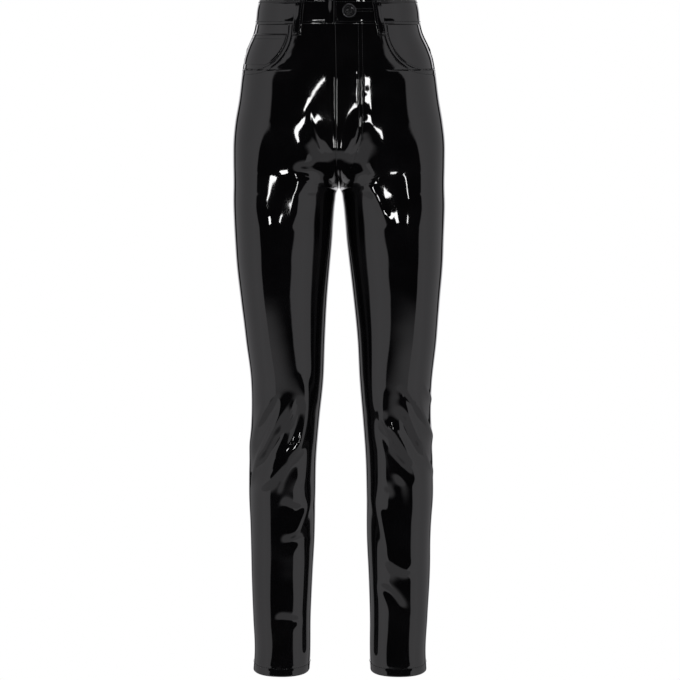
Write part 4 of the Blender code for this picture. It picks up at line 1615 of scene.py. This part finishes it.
class BackPanel(Piece):
    """A back panel, from the yoke down to the hem."""

    def __init__(self, garment: Garment, finishes: Finishes, side: Side) -> None:
        """Keeps the side.

        Args:
            garment: the surface.
            finishes: its materials.
            side: the half of the garment.
        """
        super().__init__(garment, finishes)
        self.side = side
        self.stitch_lift = 0.1 * MM

    def paths(self) -> list[np.ndarray]:
        """Stitched rows: under the yoke, beside the centre back, and round the hem.

        Returns:
            The rows.
        """
        paths = []
        around = np.linspace(0.504, 0.998, 110)
        for drop in (2.2 * MM, 8.0 * MM):
            paths.append(self.garment.point(self.side, around, yoke_line(around) - drop,
                                            self.stitch_lift))
        if self.side is Side.LEFT:
            level = np.linspace(-112 * MM, -238 * MM, 90)
            half = column(TRUNK, "half_width", level) * math.pi
            for away in (2.2 * MM, 8.0 * MM):
                paths.append(self.garment.point(self.side, 1.0 - away / half, level,
                                                self.stitch_lift))
        around = np.linspace(0.504, 0.996, 120)
        paths.append(self.garment.point(self.side, around, np.full(120, HEM + HEM_TURN),
                                        self.stitch_lift))
        return paths

    def build(self, sewing: Sewing) -> bpy.types.Object:
        """Makes the panel and its stitches.

        Args:
            sewing: makes the stitches.

        Returns:
            The panel.
        """
        sloped_to = -130.0 * MM
        columns = Columns(near=12 * MM, near_step=1.5 * MM, end=12 * MM, end_step=1.2 * MM,
                          between=72)
        levels = panel_levels(sloped_to)
        gap = side_gap(levels)
        around, level = self.row_grid(levels, 0.5 + gap, 1.0 - inner_edge(levels), columns)
        top_around = around[0]
        top = yoke_line(top_around) - 0.2 * MM
        slope_rows = 14
        share = np.linspace(0.0, 1.0, slope_rows, endpoint=False)[:, None]
        sloped = top[None, :] + (sloped_to - top[None, :]) * share
        around = np.concatenate([np.repeat(top_around[None, :], slope_rows, axis=0), around])
        level = np.concatenate([sloped, level])
        base = self.garment.point(self.side, around, level)
        paths = self.paths()
        depth = (column(LEG, "back", level) - column(LEG, "front", level)) / 2
        per = 2 * math.pi * depth
        lift = StitchedRelief(paths).at(base)
        lift -= 0.7 * MM * np.exp(-((1.0 - around) * per / (2.2 * MM)) ** 2)
        lift -= 0.7 * MM * np.exp(-((around - 0.5) * per / (2.2 * MM)) ** 2)
        outer = self.garment.point(self.side, around, level, lift)
        inner = self.garment.point(self.side, around, level, lift - CLOTH)
        stitches = sewing.rows(f"back_stitches_{self.side.word}", paths)
        return self.cloth(f"back_panel_{self.side.word}", outer, inner,
                          Cut(0.285, 0.970, 0.180), [stitches])


class Yoke(Piece):
    """The shaped piece between the waistband and a back panel."""

    def build(self, side: Side) -> bpy.types.Object:
        """Makes one yoke.

        Args:
            side: the half of the garment.

        Returns:
            The yoke.
        """
        columns = Columns(near=10 * MM, near_step=1.5 * MM, end=10 * MM, end_step=1.5 * MM,
                          between=60)
        level_at = YOKE_AT_SIDE
        gap = float(side_gap(np.array(level_at)))
        row = self.garment.at_distances(level_at, 0.5 + gap, 1.0, columns.place)
        rows = 26
        top = -BAND_HEIGHT + 0.4 * MM
        bottom = yoke_line(row) - 0.2 * MM
        share = np.linspace(0.0, 1.0, rows + 1)[:, None]
        level = top + (bottom[None, :] - top) * share
        around = np.repeat(row[None, :], rows + 1, axis=0)
        edge = (level - bottom[None, :]) / MM
        lift = 0.5 * MM * np.exp(-(edge / 5.0) ** 2)
        lift = lift - 0.6 * MM * np.exp(-((1.0 - around) * 430.0 / 2.2) ** 2)
        outer = self.garment.point(side, around, level, lift)
        inner = self.garment.point(side, around, level, lift - CLOTH)
        return self.cloth(f"yoke_{side.word}", outer, inner, Cut(0.215, 0.075, 0.0115))


class PocketFacing(Piece):
    """The hip piece inside a pocket mouth, with the coin pocket on the wearer's right."""

    rows = 35
    columns = 32

    def grid(self) -> tuple[np.ndarray, np.ndarray]:
        """Places from the mouth's edge to the side seam.

        Returns:
            Places round the half, and levels.
        """
        levels, edges = mouth_curve(self.garment, self.rows, -MOUTH_GAP)
        share = np.linspace(0.0, 1.0, self.columns + 1)
        around_rows, level_rows = [], []
        for index in range(self.rows):
            end = 0.5 - float(side_gap(np.array(levels[index])))
            around_rows.append(edges[index] + (end - edges[index]) * share)
            level_rows.append(np.full(share.shape, levels[index]))
        return np.array(around_rows), np.array(level_rows)

    def build(self, side: Side, sewing: Sewing) -> None:
        """Makes the facing, and the coin pocket on the wearer's right.

        Args:
            side: the half of the garment.
            sewing: makes the stitches.
        """
        around, level = self.grid()
        self.facing(side, around, level)
        if side is Side.RIGHT:
            self.coin_pocket(around, level, sewing)

    def facing(self, side: Side, around: np.ndarray, level: np.ndarray) -> bpy.types.Object:
        """The hip piece itself; it reaches under the front panel.

        Args:
            side: the half of the garment.
            around: places round the half.
            level: heights, in metres.

        Returns:
            The facing.
        """
        under = around[:, :1] - np.array([[0.020, 0.010]])
        around = np.concatenate([under, around], axis=1)
        level = np.concatenate([level[:, :1], level[:, :1], level], axis=1)
        outer = self.garment.point(side, around, level, FACING_LIFT)
        inner = self.garment.point(side, around, level, FACING_LIFT - CLOTH)
        return self.cloth(f"pocket_facing_{side.word}", outer, inner,
                          Cut(0.100, 0.078, 0.0058))

    def coin_pocket(self, around: np.ndarray, level: np.ndarray,
                    sewing: Sewing) -> bpy.types.Object:
        """The small pocket, with two stitched rows under its top edge.

        Args:
            around: places round the half.
            level: heights, in metres.
            sewing: makes the stitches.

        Returns:
            The pocket.
        """
        shown = (slice(5, 26), slice(0, 29))
        around, level = around[shown], level[shown]
        lift = FACING_LIFT + SEAM + COIN_CLOTH
        paths = []
        for drop in (2.0 * MM, 7.0 * MM):
            row = np.linspace(float(around[0, 0]) + 0.004, float(around[0, -1]) - 0.004, 40)
            at = np.full(row.shape, float(level[0, 0]) - drop)
            paths.append(self.garment.point(Side.RIGHT, row, at, lift + 0.1 * MM))
        base = self.garment.point(Side.RIGHT, around, level, lift)
        relief = StitchedRelief(paths, depth=0.3 * MM).at(base)
        outer = self.garment.point(Side.RIGHT, around, level, lift + relief)
        inner = self.garment.point(Side.RIGHT, around, level, lift - COIN_CLOTH)
        stitches = sewing.rows("coin_pocket_stitches", paths)
        return self.cloth("coin_pocket", outer, inner, Cut(0.090, 0.062, 0.0049), [stitches])


class BackPocket(Piece):
    """A patch pocket with a pointed foot."""

    rows = 54
    columns = 60
    clear = 0.4 * MM

    def place(self, share: np.ndarray, down: np.ndarray) -> tuple[np.ndarray, np.ndarray]:
        """Places on the patch: share -1 to 1 across, down 0 to 1.

        Args:
            share: places along.
            down: places down.

        Returns:
            Places round the half, and levels.
        """
        middle = (POCKET_OUTER + POCKET_INNER) / 2
        half = (POCKET_INNER - POCKET_OUTER) / 2
        around = middle + share * (half - POCKET_TAPER * down)
        foot = POCKET_HEIGHT - POCKET_POINT * np.abs(share) ** 1.1
        level = POCKET_TOP - POCKET_TILT * (1 + share) / 2 - foot * down
        return around, level

    def path(self, side: Side, inset: float) -> np.ndarray:
        """A row down one edge, round the foot and up the other edge.

        Args:
            side: the half of the garment.
            inset: distance from the edge.

        Returns:
            The points.
        """
        across, tall = inset / (60 * MM), inset / POCKET_HEIGHT
        reach, low = 1.0 - across, 1.0 - tall
        steps = np.linspace(0.0, 1.0, 40)
        share = np.concatenate([np.full(40, -reach), np.linspace(-reach, reach, 60)[1:-1],
                                np.full(40, reach)])
        down = np.concatenate([steps * low, np.full(58, low), steps[::-1] * low])
        around, level = self.place(share, down)
        return self.garment.point(side, around, level, self.clear + CLOTH + 0.1 * MM)

    def build(self, side: Side, sewing: Sewing) -> bpy.types.Object:
        """Makes one pocket and its stitches.

        Args:
            side: the half of the garment.
            sewing: makes the stitches.

        Returns:
            The pocket.
        """
        share = np.linspace(-1.0, 1.0, self.columns + 1)[None, :]
        down = np.linspace(0.0, 1.0, self.rows + 1)[:, None]
        share, down = np.broadcast_arrays(share, down)
        around, level = self.place(share, down)
        paths = [self.path(side, inset) for inset in (2.0 * MM, 8.0 * MM)]
        for drop in (3.0 * MM, 14.0 * MM):
            across = np.linspace(-0.94, 0.94, 60)
            row_around, row_level = self.place(across, np.full(60, drop / POCKET_HEIGHT))
            paths.append(self.garment.point(side, row_around, row_level,
                                            self.clear + CLOTH + 0.1 * MM))
        base = self.garment.point(side, around, level, self.clear + CLOTH)
        crown = 0.7 * MM * (1 - share ** 4) * (1 - (2 * down - 1) ** 4)
        lift = StitchedRelief(paths, depth=0.35 * MM).at(base) + crown
        outer = self.garment.point(side, around, level, self.clear + CLOTH + lift)
        inner = self.garment.point(side, around, level, self.clear + 0.6 * lift)
        stitches = sewing.rows(f"back_pocket_stitches_{side.word}", paths)
        return self.cloth(f"back_pocket_{side.word}", outer, inner,
                          Cut(0.125, 0.145, 0.0150), [stitches])


class Waistband(Piece):
    """One half of the band; the left half laps over the right one at the front."""

    rows = 22

    def lift_at(self, side: Side, turn: np.ndarray) -> np.ndarray:
        """The right half dives under the left one at the lap.

        Args:
            side: the half of the garment.
            turn: places round the waist.

        Returns:
            Heights, in metres.
        """
        if side is Side.LEFT:
            return np.full(turn.shape, BAND_PROUD)
        dive_from, dive_to = OVERLAP_END - LAP_START, OVERLAP_END - LAP_DEEP
        return BAND_PROUD - (BAND_THICKNESS + SEAM) * smoothstep(dive_from, dive_to, turn)

    def paths(self, side: Side) -> list[np.ndarray]:
        """Rows of stitches near the band's two long edges.

        Args:
            side: the half of the garment.

        Returns:
            The rows.
        """
        start, end = (OVERLAP_END + 0.003, 0.4985) if side is Side.LEFT else (-0.4985, -0.022)
        turn = np.linspace(start, end, 240)
        paths = [self.garment.ring(turn, np.full(turn.shape, level), BAND_PROUD + 0.1 * MM)
                 for level in (-3.6 * MM, -BAND_HEIGHT + 3.2 * MM)]
        if side is Side.LEFT:
            level = np.linspace(-3.6 * MM, -BAND_HEIGHT + 3.2 * MM, 20)
            paths.append(self.garment.ring(np.full(20, OVERLAP_END + 0.003), level,
                                           BAND_PROUD + 0.1 * MM))
        return paths

    def build(self, side: Side, sewing: Sewing) -> bpy.types.Object:
        """Makes one half of the band and its stitches.

        Args:
            side: the half of the garment.
            sewing: makes the stitches.

        Returns:
            The half band.
        """
        if side is Side.LEFT:
            turn = np.linspace(OVERLAP_END, 0.4998, 190)
        else:
            turn = np.concatenate([np.linspace(-0.4998, -0.03, 170)[:-1],
                                   np.linspace(-0.03, UNDERLAP_END, 50)])
        level = np.linspace(-0.6 * MM, -BAND_HEIGHT, self.rows + 1)[:, None] + 0.0 * turn
        turn = turn + 0.0 * level
        lift = self.lift_at(side, turn)
        base = self.garment.ring(turn, level, lift)
        paths = self.paths(side)
        relief = StitchedRelief(paths, depth=0.4 * MM, pucker=0.2 * MM,
                                pucker_size=9 * MM).at(base)
        outer = self.garment.ring(turn, level, lift + relief)
        inner = self.garment.ring(turn, level, lift - BAND_THICKNESS)
        stitches = sewing.rows(f"waistband_stitches_{side.word}", paths)
        width = 0.342 if side is Side.LEFT else 0.365
        return self.cloth(f"waistband_{side.word}", outer, inner,
                          Cut(width, 0.036, width * 0.035), [stitches], roll=0.8)


class LoopPlace(NamedTuple):
    """A belt loop's name and where its ends are tacked round the waist."""

    name: str
    turn_top: float
    turn_bottom: float


BELT_LOOPS = [
    LoopPlace("belt_loop_front_left", 0.0678, 0.0729),
    LoopPlace("belt_loop_front_right", -0.0666, -0.0685),
    LoopPlace("belt_loop_back_left", 0.3950, 0.3950),
    LoopPlace("belt_loop_back_right", -0.3950, -0.3950),
    LoopPlace("belt_loop_centre_back", 0.5000, 0.5000),
]


class BeltLoop(Piece):
    """A flat strip over the band, tacked at both ends."""

    rows = 44
    columns = 12

    def lift_at(self, level: np.ndarray, share: np.ndarray) -> np.ndarray:
        """Height of the strip's outer face."""
        seat = SEAM + BAND_PROUD * smoothstep(LOOP_STEP_END, LOOP_STEP_START, level)
        return seat + CLOTH + LOOP_BULGE * np.sin(math.pi * share) ** 0.8

    def at(self, place: LoopPlace, share: np.ndarray, across: np.ndarray,
           extra: np.ndarray | float = 0.0) -> np.ndarray:
        """Points of the strip: share 0 to 1 down it, across -1 to 1.

        Args:
            place: where the loop is sewn.
            share: places along.
            across: places across.
            extra: more height.

        Returns:
            The points.
        """
        turn = (place.turn_top + (place.turn_bottom - place.turn_top) * share
                + across * LOOP_HALF_WIDTH / WAIST_ROUND)
        level = LOOP_TOP + (LOOP_BOTTOM - LOOP_TOP) * share + 0.0 * across
        return self.garment.ring(turn, level, self.lift_at(level, share) + extra)

    def build(self, place: LoopPlace, sewing: Sewing) -> bpy.types.Object:
        """Makes one loop, its two stitched rows and its bar tacks.

        Args:
            place: where the loop is sewn.
            sewing: makes the stitches.

        Returns:
            The loop.
        """
        share = np.linspace(0.0, 1.0, self.rows + 1)[:, None]
        across = np.linspace(-1.0, 1.0, self.columns + 1)[None, :]
        share, across = np.broadcast_arrays(share, across)
        swell = 0.35 * MM * (np.cos(math.pi * across) * 0.5 + 0.5)
        pinch = -0.5 * MM * (np.exp(-((share - 0.06) / 0.03) ** 2)
                             + np.exp(-((share - 0.93) / 0.03) ** 2))
        outer = self.at(place, share, across, swell + pinch)
        inner = self.at(place, share, across, -CLOTH)
        down = np.linspace(0.04, 0.96, 50)
        rows = [self.at(place, down, np.full(50, edge), 0.12 * MM) for edge in (-0.55, 0.55)]
        stitches = sewing.rows(f"{place.name}_stitches", rows)
        tacks = []
        for at in (0.06, 0.93):
            ends = self.at(place, np.array([at, at]), np.array([-0.9, 0.9]), -0.1 * MM)
            above = self.at(place, np.array([at - 0.02]), np.array([0.0]), -0.1 * MM)[0]
            below = self.at(place, np.array([at + 0.02]), np.array([0.0]), -0.1 * MM)[0]
            upward = (above - below) / np.linalg.norm(above - below)
            tacks.append(zigzag(ends[0], ends[1], upward, 1.8 * MM, 0.55 * MM))
        bars = sewing.tacks(f"{place.name}_tacks", tacks)
        return self.cloth(place.name, outer, inner, Cut(0.012, 0.055, 0.00062),
                          [stitches, bars])


class Hem(Piece):
    """The turned-up end of one leg, lying inside it."""

    def build(self, side: Side) -> bpy.types.Object:
        """Makes one hem ring.

        Args:
            side: the half of the garment.

        Returns:
            The hem.
        """
        columns, rows = 150, 10
        around = np.arange(columns)[None, :] / columns + np.zeros((rows + 1, 1))
        level = np.linspace(HEM + HEM_TURN, HEM + 0.3 * MM, rows + 1)[:, None] + 0.0 * around
        lift = -CLOTH - SEAM
        outer = self.garment.point(side, around, level, lift)
        inner = self.garment.point(side, around, level, lift - HEM_CLOTH)
        return self.cloth(f"hem_{side.word}", outer, inner, Cut(0.30, 0.0125, 0.0034),
                          closed=True)


@dataclass(frozen=True)
class ButtonSizes:
    """The button's turned profile, as shares of its radius and thickness from its foot."""

    profile: tuple = ((0.0, 0.0), (0.55, 0.0), (0.90, 0.04), (0.97, 0.16), (1.0, 0.34),
                      (1.0, 0.60), (0.975, 0.80), (0.93, 0.94), (0.875, 1.0), (0.81, 0.985),
                      (0.765, 0.92), (0.745, 0.82), (0.72, 0.76), (0.66, 0.75), (0.63, 0.79),
                      (0.60, 0.83), (0.56, 0.83), (0.53, 0.79), (0.50, 0.76), (0.40, 0.77),
                      (0.20, 0.84), (0.0, 0.86))
    segments: int = 96
    petals: int = 8                 # a plain fluted dome in the middle
    petal_height: float = 0.10


class Button(Piece):
    """The shank button in its buttonhole."""

    sizes = ButtonSizes()

    def axes(self) -> tuple[np.ndarray, np.ndarray, np.ndarray, np.ndarray]:
        """The button's seat on the band and its three directions.

        Returns:
            Seat, across, upward and facing.
        """
        seat, above = (self.garment.ring(np.array([BUTTON_TURN]), np.array([BUTTON_LEVEL]),
                                         lift)[0] for lift in (BAND_PROUD + SEAM, 10 * MM))
        facing = (above - seat) / np.linalg.norm(above - seat)
        across = np.cross(np.array([0.0, 0.0, 1.0]), facing)
        across /= np.linalg.norm(across)
        return seat, across, np.cross(facing, across), facing

    def build(self, sewing: Sewing) -> bpy.types.Object:
        """Makes the button and the buttonhole's edge.

        Args:
            sewing: makes the stitches.

        Returns:
            The button.
        """
        seat, across, upward, facing = self.axes()
        count = self.sizes.segments
        angle = np.arange(count) * 2 * math.pi / count
        rings = []
        for radius, height in self.sizes.profile[1:-1]:
            flutes = np.zeros(count)
            if height > 0.7 and radius < 0.52:
                wave = 0.5 + 0.5 * np.cos(self.sizes.petals * angle)
                flutes = self.sizes.petal_height * wave * math.sin(math.pi * radius / 0.52)
            lifted = (height + flutes) * BUTTON_THICKNESS
            rings.append(seat + np.outer(np.cos(angle), across) * radius * BUTTON_RADIUS
                         + np.outer(np.sin(angle), upward) * radius * BUTTON_RADIUS
                         + lifted[:, None] * facing)
        foot = seat[None, :]
        crown = (seat + facing * self.sizes.profile[-1][1] * BUTTON_THICKNESS)[None, :]
        vertices = np.concatenate(rings + [foot, crown])
        quads = [tuple(quad) for quad in grid_quads(len(rings), count, True)]
        last = (len(rings) - 1) * count
        centre = len(rings) * count
        for index in range(count):
            following = (index + 1) % count
            quads.append((following, index, centre))
            quads.append((last + index, last + following, centre + 1))
        made = mesh_object("button_metal", vertices, quads, (self.finishes.metal,))
        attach(made, ROOT)
        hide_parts("button")
        LOG.info("button: %d faces", len(quads))
        self.buttonhole(sewing)
        return made

    def buttonhole(self, sewing: Sewing) -> bpy.types.Object:
        """Dense purl stitches round the slit, from under the button to the wearer's left.

        Args:
            sewing: makes the stitches.

        Returns:
            The stitches.
        """
        start, end = BUTTON_TURN - 0.004, BUTTON_TURN + 0.040
        gap = 1.9 * MM
        turn = np.concatenate([np.linspace(start, end, 80),
                               end + 0.003 * np.sin(np.linspace(0, math.pi, 16)[1:-1]),
                               np.linspace(end, start, 80)])
        offset = np.concatenate([np.full(80, gap), gap * np.cos(np.linspace(0, math.pi, 16)[1:-1]),
                                 np.full(80, -gap)])
        sign = np.where(np.arange(turn.size) % 2 == 0, 1.35, 0.65)
        level = BUTTON_LEVEL + 1.0 * MM + offset * sign
        path = self.garment.ring(turn, level, BAND_PROUD + 0.25 * MM)
        made = sewing.tacks("buttonhole", [path], 0.55 * MM)
        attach(made, ROOT)
        return made


# --- the studio -------------------------------------------------------------------------------
class Softbox(NamedTuple):
    """A flat light beside the camera, seen only in reflections, as its middle line."""

    top_x: float
    top_z: float
    bottom_x: float
    bottom_z: float
    half_width: float
    level: float = 24.0
    depth: float = -2.6

    def corners(self) -> np.ndarray:
        """Its four corners.

        Returns:
            The corners.
        """
        centre, across, up, _ = self.place()
        return np.array([centre - across - up, centre + across - up, centre + across + up,
                         centre - across + up])

    def place(self) -> tuple[np.ndarray, np.ndarray, np.ndarray, np.ndarray]:
        """Its centre, its two half sides and its normal.

        Returns:
            Centre, half across, half up and normal.
        """
        top = np.array([self.top_x, self.depth, self.top_z])
        bottom = np.array([self.bottom_x, self.depth, self.bottom_z])
        up = (top - bottom) / 2
        across = np.array([up[2], 0.0, -up[0]]) / np.linalg.norm(up) * self.half_width
        return (top + bottom) / 2, across, up, np.array([0.0, 1.0, 0.0])


class Studio:
    """Backdrop, floor, lights and camera."""

    softboxes = (
        Softbox(-0.30, 0.24, -0.60, 0.12, 0.02),
        Softbox(-0.60, 0.12, -0.70, -0.17, 0.065),
        Softbox(-0.60, -0.46, -0.50, -0.80, 0.10),
        Softbox(0.68, 0.27, 0.68, -0.10, 0.035),
        Softbox(0.50, -0.48, 0.42, -0.76, 0.05),
    )
    card_edge = 51.0                # where the grey side walls start
    card_slant = 0.85               # they come further forward near the floor
    card_level = 0.86
    card_fall = 0.0062              # dimmer towards the back
    card_shoulder = 22.0            # and above eye level
    card_top = 27.0                 # their upper edge
    card_foot = -30.0
    backdrop_edge = 160.0
    gap_edge = 149.0                # a dark gap between the walls and the backdrop
    floor_edge = -23.0
    floor_end = -52.0
    floor_level = 0.62

    def world(self) -> None:
        """White to the camera; grey walls, floor, backdrop and a light overhead to all that
        reflects.
        """
        world = bpy.data.worlds.new("studio")
        bpy.context.scene.world = world
        world.use_nodes = True
        tree = Tree(world.node_tree)
        direction = tree.node("ShaderNodeTexCoord").outputs["Generated"]
        parts = tree.node("ShaderNodeSeparateXYZ", Vector=direction)
        x, y, z = (tree.value(parts.outputs[index]) for index in range(3))
        degree = 180.0 / math.pi
        azimuth = tree.maths("ARCTAN2", x, 0.0 - y) * degree
        elevation = tree.maths("ARCSINE", z) * degree
        round_by = abs(azimuth)
        edge = self.card_edge + tree.maths("MINIMUM", elevation, 0.0) * self.card_slant
        edge = edge - tree.rise(elevation, 7.5, 15.5) * self.card_shoulder
        wall = tree.rise(round_by - edge, -1.5, 1.5)
        wall = wall * tree.rise(elevation, self.card_top + 2.0, self.card_top - 2.0)
        wall = wall * tree.rise(elevation, self.card_foot - 3.0, self.card_foot + 3.0)
        wall = wall * tree.rise(round_by, self.gap_edge + 1.5, self.gap_edge - 1.5)
        dimmer = self.card_level - self.card_fall * tree.maths("MAXIMUM", round_by - 60.0, 0.0)
        backdrop = tree.rise(round_by, self.backdrop_edge - 4.0, self.backdrop_edge + 4.0)
        ground = tree.rise(elevation, self.floor_edge + 4.0, self.floor_edge - 4.0)
        ground = ground * tree.rise(elevation, self.floor_end - 6.0, self.floor_end + 6.0)
        total = tree.maths("MAXIMUM", wall * dimmer, ground * self.floor_level)
        total = total + backdrop * 1.0 + 0.004
        overhead = tree.rise(elevation, 60.0, 75.0) * 0.7
        seen = tree.node("ShaderNodeBackground", Color=(1.0, 1.0, 1.0, 1.0), Strength=1.0)
        lit = tree.node("ShaderNodeBackground", Color=(0.985, 0.97, 1.0, 1.0),
                        Strength=total + overhead)
        ray = tree.node("ShaderNodeLightPath").outputs["Is Camera Ray"]
        mixed = tree.node("ShaderNodeMixShader", Fac=ray, _1=lit.outputs[0],
                          _2=seen.outputs[0])
        tree.node("ShaderNodeOutputWorld", Surface=mixed.outputs[0])

    def floor(self) -> None:
        """A pale floor below the hems."""
        radius, height = 0.7, -1.30
        angle = np.arange(96) * 2 * math.pi / 96
        ring = np.stack([radius * np.cos(angle), radius * np.sin(angle),
                         np.full(96, height)], axis=1)
        made, tree = new_material("studio_floor")
        place = tree.node("ShaderNodeTexCoord").outputs["Object"]
        noise = tree.node("ShaderNodeTexNoise", Vector=place, Scale=3.0)
        colour = tree.mix(noise.outputs["Fac"], (0.80, 0.80, 0.80, 1.0), (0.84, 0.84, 0.84, 1.0))
        shader = tree.node("ShaderNodeBsdfPrincipled", Base_Color=colour, Roughness=0.8,
                           Emission_Color=(1.0, 1.0, 1.0, 1.0), Emission_Strength=0.55)
        tree.node("ShaderNodeOutputMaterial", Surface=shader.outputs[0])
        floor = mesh_object("studio_floor", ring, [tuple(range(96))], (made,))
        floor.visible_glossy = False

    def panels(self) -> None:
        """The softboxes, as glowing panels that only reflections show."""
        for number, box in enumerate(self.softboxes):
            made, tree = new_material(f"softbox_{number}")
            glow = tree.node("ShaderNodeEmission", Strength=box.level)
            tree.node("ShaderNodeOutputMaterial", Surface=glow.outputs[0])
            panel = mesh_object(f"softbox_{number}", box.corners(), [(0, 1, 2, 3)], (made,))
            panel.visible_camera = False
            panel.visible_diffuse = False
            panel.visible_shadow = False

    def lights(self) -> None:
        """A soft area light above, for the knit and the thread."""
        lamp = bpy.data.lights.new("top_light", "AREA")
        lamp.energy = 18.0
        lamp.size = 1.6
        made = bpy.data.objects.new("top_light", lamp)
        made.location = (0.0, -1.4, 1.9)
        made.rotation_euler = (math.radians(38.0), 0.0, 0.0)
        made.visible_glossy = False
        bpy.context.scene.collection.objects.link(made)

    def camera(self) -> None:
        """The photograph's viewing angle."""
        lens = bpy.data.cameras.new("camera")
        lens.sensor_width = 36.0
        lens.lens = 2111.0 / 680.0 * 36.0
        lens.clip_start, lens.clip_end = 0.1, 50.0
        made = bpy.data.objects.new("camera", lens)
        made.location = (0.0015, -3.2, -0.05)
        made.rotation_euler = (math.radians(90.0 - 8.25), 0.0, 0.0)
        bpy.context.scene.collection.objects.link(made)
        bpy.context.scene.camera = made

    def build(self) -> None:
        """Sets the whole studio."""
        self.world()
        self.floor()
        self.panels()
        self.lights()
        self.camera()
        bpy.context.scene.view_settings.view_transform = "Standard"
        bpy.context.scene.view_settings.look = "None"


def main() -> None:
    """Builds the trousers piece by piece, then the studio."""
    logging.basicConfig(level=logging.INFO, format="%(name)s: %(message)s")
    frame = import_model()
    LOG.info("frame loaded with %d nodes", len(frame["nodes"]))
    finishes = Finishes(PatentVinyl().build(), KnitBacking().build(), Thread().build(),
                        ButtonMetal().build())
    garment = Garment()
    sewing = Sewing(finishes.thread)
    Studio().build()
    for side in Side:
        FrontPanel(garment, finishes, side).build(sewing)
        BackPanel(garment, finishes, side).build(sewing)
        Yoke(garment, finishes).build(side)
        PocketFacing(garment, finishes).build(side, sewing)
        BackPocket(garment, finishes).build(side, sewing)
        Waistband(garment, finishes).build(side, sewing)
        Hem(garment, finishes).build(side)
    for place in BELT_LOOPS:
        BeltLoop(garment, finishes).build(place, sewing)
    Button(garment, finishes).build(sewing)


if __name__ == "__main__":
    main()
